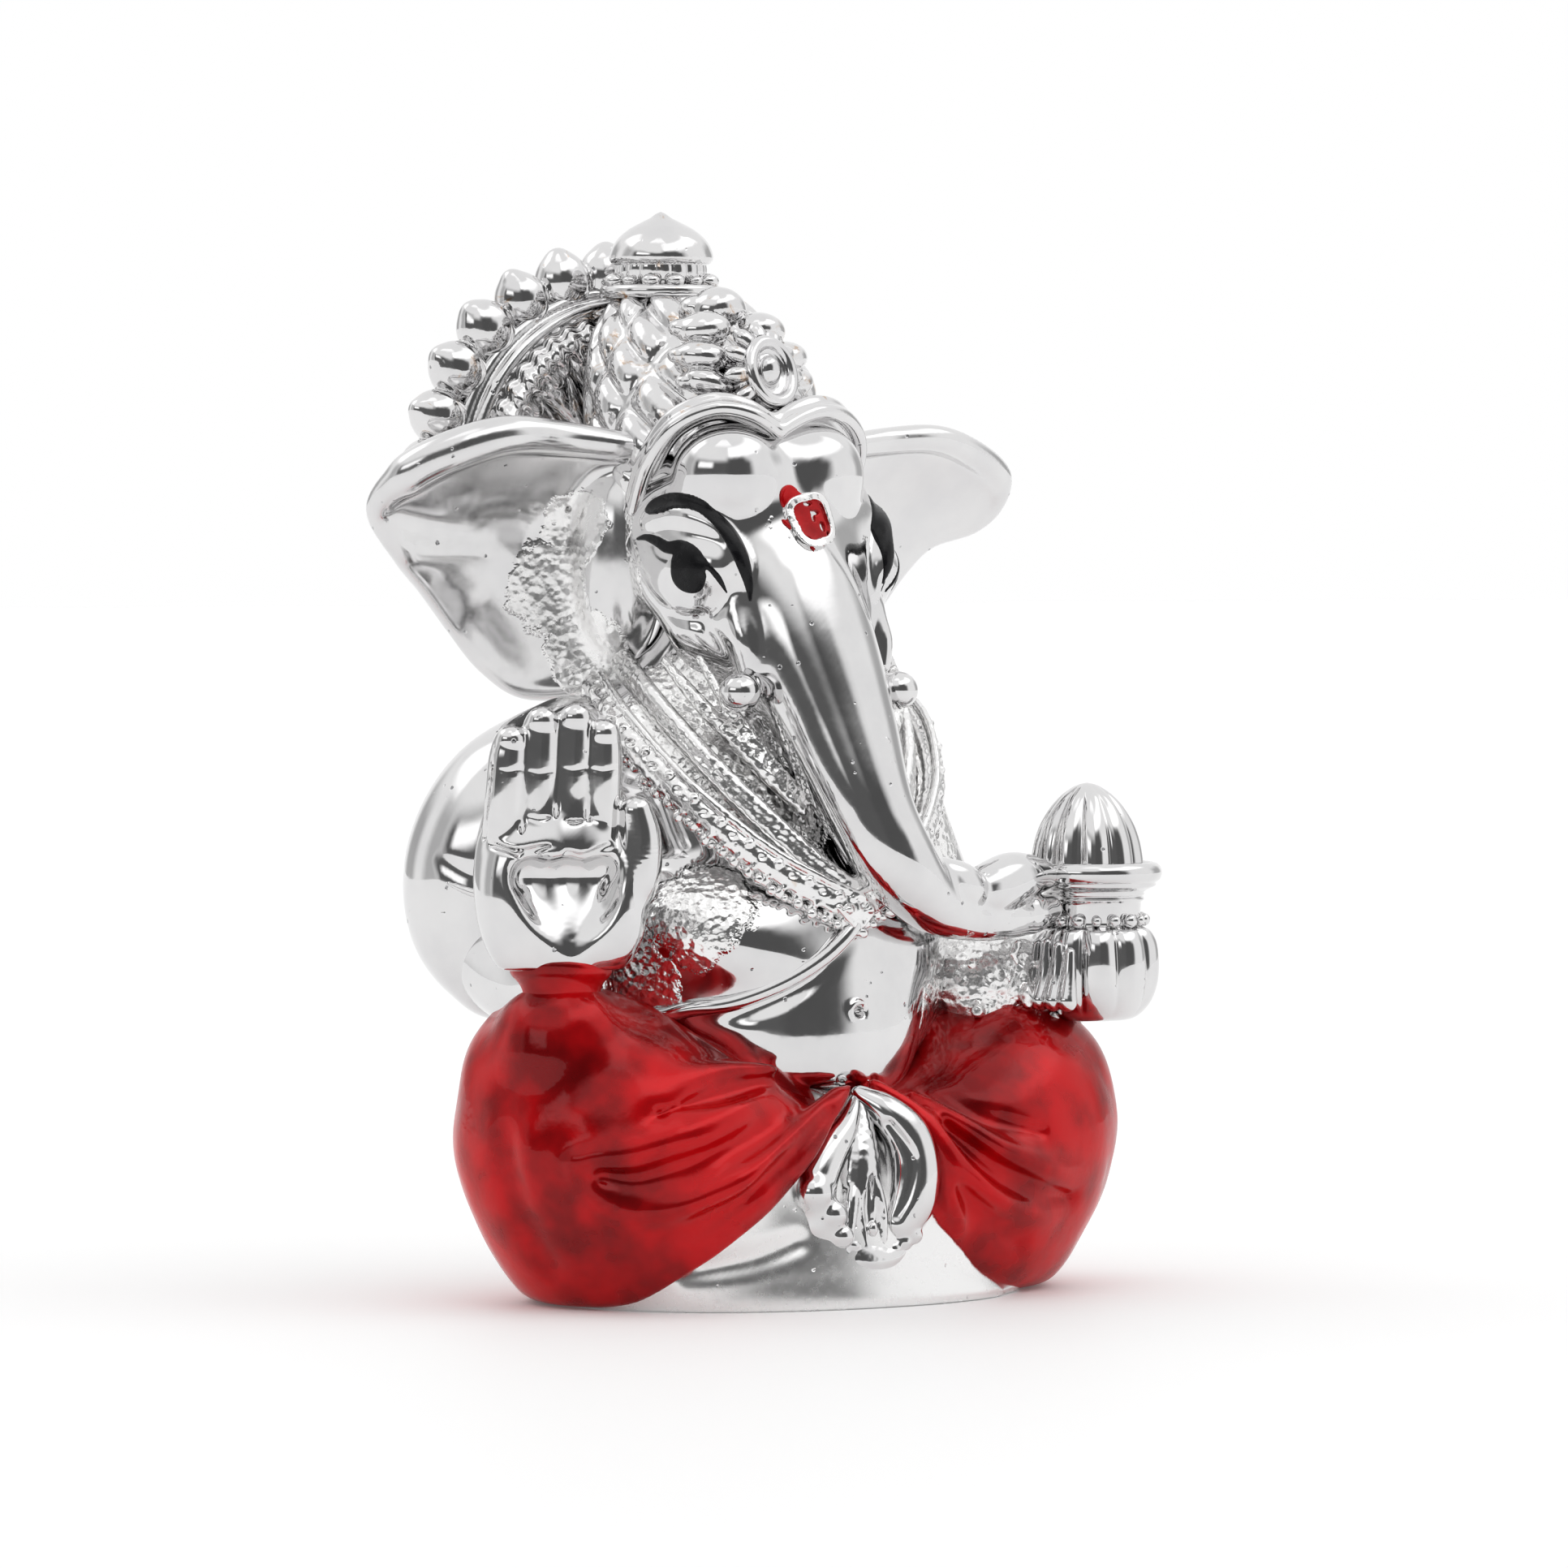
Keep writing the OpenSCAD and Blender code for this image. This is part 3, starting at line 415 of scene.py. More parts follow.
def silver(name, rough=(), tarnish=0.0, cast=0.0, base=0.05, light=0.0, depth=1.0):
    """Bright plating. rough lists (x, y, z, r) places left as cast; cast is the grain everywhere."""
    m, nt, b = mat_new(name)
    pos = nt.nodes.new("ShaderNodeTexCoord").outputs["Object"]
    b.inputs["Metallic"].default_value = 1.0
    # grey depth: the plating darkens a little in broad clouds
    cloud = noise(nt, 260, 4, 0.6, pos)
    col = blend(nt, ramp(nt, cloud, 0.3, 0.75), (0.74, 0.735, 0.735), (0.69, 0.685, 0.69))
    if tarnish:
        warm = noise(nt, 420, 5, 0.65, pos, 1.5)
        col = blend(nt, ramp(nt, warm, 0.66 - tarnish * 0.08, 0.74), col, (0.52, 0.36, 0.24))
    # tiny dark casting pits
    vor = add(nt, "ShaderNodeTexVoronoi", Scale=900.0)
    nt.links.new(pos, vor.inputs["Vector"])
    thin = noise(nt, 700, 2, 0.5, pos)
    pit = calc(nt, "MULTIPLY", ramp(nt, vor.outputs["Distance"], 0.16, 0.08),
        ramp(nt, thin, 0.56, 0.62))
    col = blend(nt, pit, col, (0.3, 0.3, 0.31))
    if light:
        col = blend(nt, calc(nt, "ADD", light, 0.0), col, (0.93, 0.925, 0.92))
    # roughness
    sm = noise(nt, 1500, 3, 0.6, pos)
    r = ramp(nt, sm, 0.35, 0.8, base, base + 0.06)
    pock = add(nt, "ShaderNodeTexVoronoi", feature="SMOOTH_F1", Scale=1900.0, Smoothness=0.5)
    nt.links.new(pos, pock.inputs["Vector"])
    height = calc(nt, "MULTIPLY", noise(nt, 420, 2, 0.5, pos), 0.10)
    height = calc(nt, "SUBTRACT", height, calc(nt, "MULTIPLY", pit, 0.35))
    coarse = calc(nt, "ADD", calc(nt, "MULTIPLY", noise(nt, 1500, 2, 0.5, pos), 1.1),
        calc(nt, "MULTIPLY", pock.outputs["Distance"], 1.15))
    mask = spots(nt, pos, rough) if rough else None
    if mask is not None:
        wob = calc(nt, "ADD", mask, calc(nt, "MULTIPLY",
            calc(nt, "SUBTRACT", noise(nt, 420, 4, 0.6, pos), 0.5), 1.9))
        mask = ramp(nt, wob, 0.35, 0.65)
        if cast:
            mask = calc(nt, "MAXIMUM", mask, cast)
        r = calc(nt, "ADD", r, calc(nt, "MULTIPLY", mask, 0.14))
        col = blend(nt, mask, col, (0.88, 0.875, 0.87))
        height = calc(nt, "ADD", height, calc(nt, "MULTIPLY", calc(nt, "MULTIPLY", mask, depth),
            coarse))
    elif cast:
        r = calc(nt, "ADD", r, 0.1 * cast)
        height = calc(nt, "ADD", height, calc(nt, "MULTIPLY", coarse, cast))
    nt.links.new(col, b.inputs["Base Color"])
    nt.links.new(r, b.inputs["Roughness"])
    bumped(nt, b, height, 0.55, 0.00022)
    return m


def lacquer(name):
    """Glossy translucent red over metal: brushed on, so darker and lighter in streaks."""
    m, nt, b = mat_new(name)
    pos = nt.nodes.new("ShaderNodeTexCoord").outputs["Object"]
    broad = noise(nt, 120, 2, 0.5, pos)
    fine = noise(nt, 420, 2, 0.5, pos)
    mix = calc(nt, "ADD", calc(nt, "MULTIPLY", broad, 0.65), calc(nt, "MULTIPLY", fine, 0.35))
    col = blend(nt, ramp(nt, mix, 0.36, 0.62), (0.2, 0.0012, 0.0025), (0.56, 0.003, 0.006))
    nt.links.new(col, b.inputs["Base Color"])
    b.inputs["Metallic"].default_value = 0.55
    b.inputs["Specular IOR Level"].default_value = 0.12
    b.inputs["Specular Tint"].default_value = (1, 0.3, 0.3, 1)
    r = ramp(nt, fine, 0.3, 0.8, 0.26, 0.42)
    nt.links.new(r, b.inputs["Roughness"])
    b.inputs["Coat Weight"].default_value = 0.42
    b.inputs["Coat Roughness"].default_value = 0.03
    h = calc(nt, "ADD", calc(nt, "MULTIPLY", noise(nt, 420, 3, 0.5, pos), 0.7),
        calc(nt, "MULTIPLY", noise(nt, 1500, 2, 0.5, pos), 0.12))
    nt.links.new(bumped(nt, b, h, 0.35, 0.0002), b.inputs["Coat Normal"])
    return m


def enamel(name, colour):
    m, nt, b = mat_new(name)
    pos = nt.nodes.new("ShaderNodeTexCoord").outputs["Object"]
    n = noise(nt, 900, 4, 0.6, pos)
    col = blend(nt, ramp(nt, n, 0.4, 0.8), colour, tuple(min(1, c * 1.6 + 0.01) for c in colour))
    nt.links.new(col, b.inputs["Base Color"])
    nt.links.new(ramp(nt, n, 0.3, 0.8, 0.18, 0.34), b.inputs["Roughness"])
    b.inputs["Specular IOR Level"].default_value = 0.22
    bumped(nt, b, n, 0.3, 0.0001)
    return m


def felt(name):
    m, nt, b = mat_new(name)
    pos = nt.nodes.new("ShaderNodeTexCoord").outputs["Object"]
    n = noise(nt, 5000, 6, 0.75, pos)
    nt.links.new(blend(nt, n, (0.10, 0.012, 0.016), (0.28, 0.04, 0.05)), b.inputs["Base Color"])
    b.inputs["Roughness"].default_value = 0.95
    b.inputs["Sheen Weight"].default_value = 0.4
    bumped(nt, b, n, 0.8, 0.0002)
    return m


S_BODY = silver(
    "silver_body",
    rough=[(-8.5, -7, 24.5, 4.2), (-11.5, -4, 20.5, 4), (-6, -4, 37, 7), (-3, -7.5, 33, 5),
        (9, -5, 36, 6), (14, 0, 20, 4), (8, -8, 18, 3)],
)
S_ARM = silver("silver_arm", rough=[(-14, 3, 27, 2.5), (13, 0, 31, 5)])
S_HEAD = silver("silver_head", rough=[(-8.5, 3.5, 46, 3), (-7, 1, 40.4, 3.4), (8.5, 3, 46, 3.4),
    (-8, 3, 50, 2)])
S_EAR = silver("silver_ear", base=0.13, depth=0.5,
    rough=[(-9.8, 6, 49.5, 3.0), (-11.0, 8, 45.5, 3.6), (-9.5, 6, 41.5, 3.4), (10.5, 5, 48, 4)])
S_PLAIN = silver("silver_plain")
S_CROWN = silver("silver_crown", tarnish=1.0, cast=0.12)
S_HALO = silver("silver_halo", tarnish=0.6, cast=0.06)
S_ORN = silver("silver_ornament", cast=0.3, tarnish=0.2, base=0.1, light=0.6)
S_CAST = silver("silver_cast", cast=1.0, base=0.16, light=0.85)
RED = lacquer("red_lacquer_coat")
RED_E = lacquer("red_enamel")
BLACK = enamel("black_enamel_line", (0.004, 0.004, 0.005))
FELT = felt("felt_wool")

# ---------------------------------------------------------------- base, legs and feet

# the upper and lower roll of a crossed leg from hip to knee to foot; x is times the side
UP = [[7.6, 1.4, 10.2, 9.0], [12, -0.8, 10.4, 9.1], [14.4, -4, 10.5, 9.1], [12.2, -7.2, 9.6, 7.9],
    [8, -9, 8.8, 6.2], [3.6, -9.4, 9, 4.4]]
DOWN = [[8, 1.6, 5.2, 6.6], [12, -0.6, 5, 6.6], [14.4, -4, 4.9, 6.4], [12.0, -7.4, 4.8, 6.1],
    [7.6, -9.2, 4.8, 5.5], [3.4, -9.6, 5, 5.0]]


def legs(c, side, inset=0.0):
    for line in (UP, DOWN):
        c.chain([[side * p[0], p[1], p[2], p[3] - inset] for p in line], k=1.6, n=6)
    c.chain([[side * p[0], p[1], (p[2] + q[2]) / 2, (p[3] + q[3]) / 2 - inset] for p, q in zip(UP,
        DOWN)], k=1.2, n=6)


def hem_right(x):
    """Height of the cloth's lower edge in front; the base shows below it."""
    return 14.6 + x * 0.93 + 0.3 * np.sin((x + 4) * 0.45)


def hem_left(x):
    return 14.8 - x * 2.4 + np.maximum(x - 4.2, 0) * 1.45


def base_plate():
    lo, hi, h = (-20.5, -18, -0.4), (20.5, 10.5, 15.5), 0.2
    c = Clay(lo, hi, h)
    legs(c, -1, 0.45)
    legs(c, 1, 0.45)
    c.egg((-1.4, -8.2, 1.0), (14.0, 8.0, 11.0), 1.5)
    c.egg((-1.0, -8.0, 8), (6, 6.0, 6.4), 1.5)
    c.soften(4)
    x, y, z = c.field()
    hem = np.where(x < 0, hem_right(x), hem_left(x))
    region = np.maximum((z - hem - 0.5) * 0.6, y + 4.5)
    c.d = np.maximum(c.d, region.astype(np.float32))
    slab = Clay(lo, hi, h)
    e = (np.sqrt((x / 16.6) ** 2 + ((y + 3.4) / 12.4) ** 2) - 1) * 13
    e = e + 0.12 * np.sin(x * 0.9 + 1) * np.cos(y * 0.7)
    qx, qz = np.maximum(e + 0.5, 0), np.abs(z - 0.45)
    inside = np.minimum(np.maximum(e + 0.5, qz), 0)
    slab.d = (np.sqrt(qx ** 2 + qz ** 2) + inside - 0.5).astype(np.float32)
    c.d = smin(c.d, slab.d, 1.6)
    # shallow ripples where the casting was rubbed smooth
    c.chain([[-13.5, -13.0, 2.6, 0.3], [-9.5, -15.0, 3.4, 0.35], [-6.5, -15.6, 4.4, 0.2]], 1.2, 5,
        "cut")
    c.half((0, 0, 0), (0, 0, -1))
    e = (np.sqrt((x / 15.5) ** 2 + ((y + 3.4) / 9.5) ** 2) - 1) * 11
    c.d = np.maximum(c.d, -np.maximum(e, z - 0.86)).astype(np.float32)
    skin(c, "base_mound", ["base_plate"], silver("silver_base", base=0.24, light=0.75))


def stack_faces(rows, n):
    """Faces that close a stack of rows rings, each of n points."""
    f = []
    for j in range(rows - 1):
        for i in range(n):
            i2 = (i + 1) % n
            f.append((j * n + i, j * n + i2, (j + 1) * n + i2, (j + 1) * n + i))
    return f + [tuple(reversed(range(n))), tuple(range((rows - 1) * n, rows * n))]


def felt_pad():
    n = 96
    rings = [(14.7, 8.7, 0.0), (15.15, 9.15, 0.0), (15.4, 9.4, 0.2), (15.4, 9.4, 0.8)]
    v = []
    for a, b, z in rings:
        for i in range(n):
            t = 2 * math.pi * i / n
            v.append((a * math.cos(t), b * math.sin(t) - 3.4, z))
    finish_piece(new_object("felt_base", v, stack_faces(len(rings), n)), ["felt_pad"], FELT)


# rolls and grooves of the cloth: path, blend
R_FOLDS = [
    ([[-0.6, -12.6, 13.9, 0.5], [-4.0, -14.2, 11.9, 0.7], [-6.6, -14.9, 9.3, 0.75],
        [-10.2, -15.0, 6.9, 0.6], [-12.6, -13.8, 4.5, 0.3]], 1.0),
    ([[-2.4, -13.0, 13.5, 0.4], [-6.6, -15.2, 11.0, 0.65], [-10.4, -16.0, 8.9, 0.75],
        [-14.0, -14.9, 7.2, 0.65], [-17.0, -12.8, 6.4, 0.55], [-18.9, -11.5, 7.3, 0.5],
        [-20.3, -10.6, 9.6, 0.3]], 1.2),
    ([[-6.8, -12.4, 14.4, 0.3], [-10.6, -14.2, 12.7, 0.55], [-14.0, -14.4, 11.4, 0.6],
        [-17.6, -13.2, 10.4, 0.5], [-20.3, -11.3, 9.8, 0.3]], 1.4),
    ([[-4.4, -12.4, 15.0, 0.2], [-9.4, -12.6, 15.2, 0.4], [-13.6, -12.2, 14.6, 0.2]], 1.6),
]
R_GROOVES = [
    ([[-3.6, -14.6, 12.6, 0.22], [-8.4, -16.3, 9.4, 0.4], [-12.4, -15.6, 6.2, 0.35],
        [-15.6, -13.4, 4.2, 0.2]], 0.9),
    ([[-8.4, -15.0, 11.9, 0.2], [-13.4, -15.3, 9.9, 0.5], [-17.0, -13.6, 8.6, 0.55],
        [-19.0, -12.0, 8.9, 0.3]], 0.8),
    ([[-23.2, -6.8, 11.2, 0.1], [-22.8, -7.2, 6.7, 0.22], [-20.4, -7.4, 2.6, 0.1]], 1.8),
    ([[-6.0, -12.6, 14.6, 0.15], [-10.6, -13.6, 14.0, 0.3], [-15.6, -13.0, 12.6, 0.15]], 1.4),
]
L_FOLDS = [
    ([[0.6, -12.9, 13.9, 0.5], [3.0, -14.0, 12.2, 0.65], [4.4, -15.1, 9.9, 0.7],
        [4.9, -15.4, 7.2, 0.65], [5.8, -14.8, 4.6, 0.35]], 1.0),
    ([[4.0, -12.4, 13.6, 0.35], [6.0, -14.6, 11.6, 0.55], [8.4, -15.7, 9.8, 0.65],
        [11.6, -15.4, 8.6, 0.6], [15.6, -13.4, 7.9, 0.4], [18.5, -11.3, 7.8, 0.25]], 1.2),
    ([[3.8, -14.2, 11.4, 0.4], [5.6, -15.6, 8.8, 0.6], [8.2, -15.8, 6.7, 0.65], [11.6, -14.6, 5.4, 0.5],
        [15.0, -12.2, 4.8, 0.25]], 1.1),
]
L_GROOVES = [
    ([[5.0, -14.6, 11.0, 0.28], [8.2, -16.2, 8.3, 0.42], [12.0, -15.3, 6.9, 0.4],
        [15.4, -13.3, 6.3, 0.2]], 0.9),
    ([[5.2, -15.8, 7.4, 0.22], [7.6, -15.8, 4.9, 0.38], [11.0, -14.2, 3.4, 0.25]], 0.9),
    ([[4.6, -12.6, 13.8, 0.2], [8.0, -14.6, 11.9, 0.35], [12.2, -14.8, 10.6, 0.2]], 1.0),
]


def leg(side, name, folds, grooves):
    lo, hi = ((-26, -18.5, -0.3), (1, 12, 23)) if side < 0 else ((-1, -18.5, -0.3), (26, 12, 21.5))
    c = Clay(lo, hi, 0.19)
    legs(c, side)
    if side < 0:
        c.egg((-17.0, -2.6, 15.0), (5.4, 5.4, 5.2), 2.2)
        c.chain([[-18.6, -6.2, 16.8, 4.2], [-18.6, -6.2, 18.3, 3.0], [-18.6, -6.2, 20.0, 2.3]], 1.6, 6)
    else:
        c.egg((17.4, -4.6, 14.2), (4.8, 5.2, 3.4), 2.2)
        c.egg((12.5, -2.0, 15.5), (5.0, 5.0, 3.4), 2.0)
    c.soften(6)
    for line, k in folds:
        c.chain(line, k, 8)
    for line, k in grooves:
        c.chain(line, k, 8, "cut")
    c.soften(3)
    x, y, z = c.field()
    c.d += (0.08 * np.sin(x * 0.8 + z * 0.5) * np.sin(y * 0.7 - z * 0.4)).astype(np.float32)
    if side < 0:
        hem = z - hem_right(x)
        c.d = -smin(-c.d, np.where(y < -3.5, hem * 0.72, FAR).astype(np.float32), 0.3)
        c.half((-0.03, 0, 0), (1, 0, 0))
    else:
        hem = z - hem_left(x)
        c.d = -smin(-c.d, np.where(y < -3.5, hem * 0.42, FAR).astype(np.float32), 0.3)
        c.half((0.03, 0, 0), (-1, 0, 0))
    c.half((0, 0, 0.1), (0, 0, -1), 0.7)
    skin(c, name, ["right_leg" if side < 0 else "left_leg"], RED)


def feet():
    h = 0.1
    lo, hi = (-8.5, -17.6, 0.6), (5.8, -10.5, 15)
    left = Clay(lo, hi, h)
    left.chain([[-0.4, -12.8, 13.4, 0.6], [0.8, -13.9, 12.4, 1.1], [2.1, -14.5, 10.7, 1.55],
        [2.5, -14.7, 8.6, 1.75], [2.1, -14.8, 6.6, 1.7], [1.3, -14.9, 5.2, 1.35]], 0.4, 8)
    left.soften(3)
    for i in range(4):
        left.egg((1.9 - 0.7 * i, -15.6 + 0.1 * i, 4.5 - 0.42 * i), (0.66, 0.6, 0.62), 0.2)
    left.chain([[0.5, -15.0, 11.6, 0.15], [1.5, -16.2, 9.4, 0.24], [1.1, -16.3, 7.2, 0.2],
        [0.4, -16.0, 5.8, 0.1]], 0.45, 6, "cut")
    skin(left, "foot_left", ["left_foot"], S_PLAIN)
    right = Clay(lo, hi, h)
    right.chain([[-0.7, -12.8, 13.0, 0.5], [-2.0, -13.7, 11.4, 0.9], [-3.6, -14.1, 9.7, 1.25],
        [-4.7, -14.3, 7.9, 1.45], [-4.6, -14.4, 5.8, 1.4], [-3.7, -14.5, 4.0, 1.1]], 0.4, 8)
    right.soften(3)
    for cx, cy, cz, r in ((-5.2, -15.1, 7.4, 1.2), (-4.0, -15.4, 6.0, 0.95), (-4.9, -14.9, 5.2, 0.85),
            (-3.4, -15.5, 4.6, 0.8)):
        right.egg((cx, cy, cz), (r, r * 0.9, r), 0.3)
    skin(right, "foot_right", ["right_foot"], S_PLAIN)
    mid = Clay(lo, hi, h)
    mid.chain([[-0.4, -12.9, 12.8, 0.6], [-1.2, -13.8, 9.5, 1.5], [-1.5, -14.0, 6.5, 1.7],
        [-1.6, -14.2, 3.6, 1.5]], 0.4, 6)
    mid.chain([[-6.0, -13.8, 5.6, 0.4], [-4.8, -14.4, 3.9, 0.8], [-2.6, -15.0, 3.0, 1.0],
        [-0.2, -15.2, 3.0, 1.0], [1.8, -15.0, 3.9, 0.6]], 1.0, 8)
    mid.soften(2)
    for dx, top, low, r in ((-1.2, 9.2, 3.4, 0.5), (-0.2, 11.6, 2.9, 0.42), (0.75, 9.8, 3.6, 0.45)):
        mid.chain([[-0.6 + dx * 0.5, -13.8, top, 0.25],
            [-1.3 + dx * 0.9, -15.1, (top + low) / 2 + 1, r],
            [-1.3 + dx * 1.25, -15.5, (top + low) / 2 - 0.8, r * 0.8],
            [-1.5 + dx * 1.4, -15.4, low, r]], 0.18, 6)
    mid.chain([[-1.0, -15.0, 9.2, 0.15], [-1.5, -15.8, 6.4, 0.36], [-1.3, -15.9, 4.4, 0.3]], 0.2, 6,
        "cut")
    mid.egg((-1.2, -15.7, 5.0), (0.34, 0.3, 0.5), 0.1)
    mid.egg((-2.6, -15.6, 4.0), (0.5, 0.4, 0.4), 0.15)
    skin(mid, "dhoti_front_pleats", ["dhoti_pleats"],
        silver("silver_pleats", cast=0.12))


# ---------------------------------------------------------------- torso


def torso_clay(h):
    c = Clay((-14.5, -13.5, 1.6), (14.5, 13.5, 46.5), h)
    c.egg((0, -0.5, 21.5), (12.5, 11, 11.4))
    c.egg((0, 1.5, 31.5), (12.5, 9, 9.3), 2.0)
    c.chain([[-11, 3, 33.5, 4.3], [-6, 3, 36, 5], [0, 3, 37, 5.6], [6, 3.4, 36, 5], [10, 4, 33.5, 4.2]],
        1.5, 5)
    c.chain([[0, 2, 36, 7], [0, 1.6, 39.5, 6.4], [0, 1.4, 42, 6]], 2.0, 5)
    c.chain([[0, 1.6, 14, 7.5], [0, 1.6, 9, 6]], 3, 1)
    return c


CREASE = [[-12.2, -1.5, 18.4], [-10.9, -5.4, 18.4], [-9.6, -7.3, 18.9], [-7.6, -9.1, 19.3],
    [-4.8, -10.6, 20.5], [-2.3, -11.5, 22.1], [-0.3, -11.7, 23.9], [1.6, -11.0, 25.6],
    [3.6, -9.6, 27.2]]


def torso():
    c = torso_clay(0.2)
    # fills the hollow between belly and thighs
    c.egg((-0.5, -8.7, 15.6), (5.6, 3.0, 4.0), 4.0)
    c.soften(5)
    c.egg((-3.6, -3.4, 23.4), (8.6, 7.9, 4.9), 1.0, (14, 12, 0))
    c.chain([[p[0] * 1.01, p[1] - 0.4, p[2] - 0.8, 0.4] for p in CREASE], 0.7, 8, "cut")
    c.soften(2)
    # the navel sits where the belly's surface is met from the front
    front = np.arange(-13.2, -8, 0.05)
    d, _ = sample(c.d, (np.stack([0 * front + 0.2, front, 0 * front + 18.7], -1) - c.lo) / c.h)
    fy = front[np.argmax(d < 0)]
    c.egg((0.2, fy, 18.6), (0.4, 0.6, 0.34), 0.2, how="cut")
    c.chain([[-0.4, fy + 0.05, 18.3, 0.12], [-0.5, fy, 18.9, 0.17], [0.0, fy, 19.25, 0.18],
        [0.55, fy, 19.15, 0.1]], 0.2, 6)
    # cast ridges between the neck and the sash
    for q in ([[-8.6, -2.4, 41.0, 0.3], [-7.6, -5.0, 38.4, 0.5], [-5.0, -7.2, 34.8, 0.55],
            [-2.2, -8.9, 31.4, 0.35]],
              [[-6.9, -3.9, 41.2, 0.25], [-5.9, -6.0, 38.0, 0.42], [-3.7, -7.6, 34.6, 0.4],
                  [-1.6, -8.8, 32.0, 0.25]]):
        c.chain(q, 0.6, 8)
        c.chain(mirror(q), 0.6, 8)
    c.half((0, 0, 1.7), (0, 0, -1))
    skin(c, "torso_body", ["torso"], S_BODY)
    cord = Clay((-14, -13.5, 16.5), (6, 1, 29), 0.11)
    cord.chain([[*p, 0.56] for p in CREASE], 0, 12)
    cord.soften(2)
    skin(cord, "belt_roll", ["belt_cord"], S_PLAIN)


SASH = [[-8.6, 2.6, 40.8], [-9.2, -1.6, 38.6], [-8.1, -5.2, 35.4], [-6.2, -7.7, 32.4],
    [-3.8, -9.6, 29.6], [-1.5, -10.9, 27.3], [0.6, -11.4, 25.9]]
BAND = [[-10.6, 2.6, 39.2], [-11.2, -1.9, 36.6], [-9.9, -5.6, 33.2], [-7.8, -8.0, 30.4],
    [-5.2, -9.9, 28.0], [-2.4, -11.1, 26.3], [0.4, -11.6, 25.0]]


def garlands():
    c = Clay((-13.5, -13.5, 22.5), (13.5, 5, 43), 0.13)
    for s in (1, -1):
        # two cords laid side by side
        c.chain([[s * p[0], p[1] - 0.1, p[2] + 0.42, 0.52] for p in SASH], 0.15, 8)
        c.chain([[s * p[0], p[1] - 0.25, p[2] - 0.5, 0.5] for p in SASH], 0.15, 8)
        c.chain([[s * p[0] * 0.97, p[1] + 0.6, p[2], 0.8] for p in SASH], 0.1, 6)
    skin(c, "sash_roll", ["chest_sash"],
        silver("silver_sash", cast=0.5, base=0.12, light=0.7))
    c = Clay((-14, -14, 22), (14, 5, 42), 0.11)
    line = curve(BAND, 12)
    seg = np.linalg.norm(np.diff(line, axis=0), axis=1)
    at = np.concatenate([[0], np.cumsum(seg)])

    def along(s):
        return np.array([np.interp(s, at, line[:, i]) for i in range(3)])

    for sgn in (1, -1):
        flip = np.array([sgn, 1, 1])
        c.chain([[*(p * flip + np.array([0, 0.25, 0])), 0.95] for p in np.array(BAND)], 0.2, 5)
        s = 0.5
        i = 0
        while s < at[-1] - 0.1:
            p = along(s) * flip
            q = along(min(s + 0.3, at[-1])) * flip
            t = (q - p) / max(np.linalg.norm(q - p), 1e-6)
            out = np.array([p[0] * 0.55, p[1] - 1.0, 0.0])
            out /= np.linalg.norm(out)
            down = np.cross(t, out) * sgn
            if down[2] > 0:
                down = -down
            jig = 0.12 * math.sin(i * 2.7)
            # a zigzag of crimped lace: a peak, a valley, and a small knot between
            c.chain([[*(p - down * 0.75 + out * 0.35), 0.16],
                [*(p + t * 0.5 + down * (0.75 + jig) + out * 0.45), 0.2],
                [*(p + t * 1.05 - down * 0.75 + out * 0.35), 0.16]], 0.12, 1)
            c.egg(p + t * 0.5 + down * (1.15 + jig) + out * 0.1, (0.42, 0.34, 0.42), 0.15)
            if i % 2 == 0:
                c.egg(p + t * 0.5 - down * 0.35 + out * 0.62, (0.34, 0.28, 0.3), 0.08)
            else:
                c.egg(p + t * 0.5 - down * 0.1 + out * 0.95, (0.3, 0.42, 0.24), 0.1, how="cut")
            s += 1.12
            i += 1
        for off, r in ((0.95, 0.26), (-0.72, 0.18)):
            c.chain([[*(p * flip + np.array([0, -0.45, off])),
                r + 0.04 * (j % 2)] for j, p in enumerate(np.array(BAND))], 0.1, 6)
    skin(c, "necklace_lace", ["necklace_band"], S_ORN)
    c = Clay((-14, -14, 21.5), (14, 5, 41), 0.11)
    for sgn in (1, -1):
        flip = np.array([sgn, 1, 1])
        s = 0.9
        i = 0
        while s < at[-1]:
            r = 0.36 + 0.07 * math.sin(i * 1.9)
            p = along(s) * flip + np.array([0.0, -0.35, -1.6 + 0.1 * math.sin(i * 2.3)])
            c.egg(p, (r, r, r), 0.0)
            s += 0.98
            i += 1
        c.chain([[*(p * flip + np.array([0, -0.05, -1.45])), 0.26] for p in np.array(BAND)], 0.12, 6)
    skin(c, "necklace_drops", ["necklace_beads"], S_ORN)


# ---------------------------------------------------------------- arms and hands


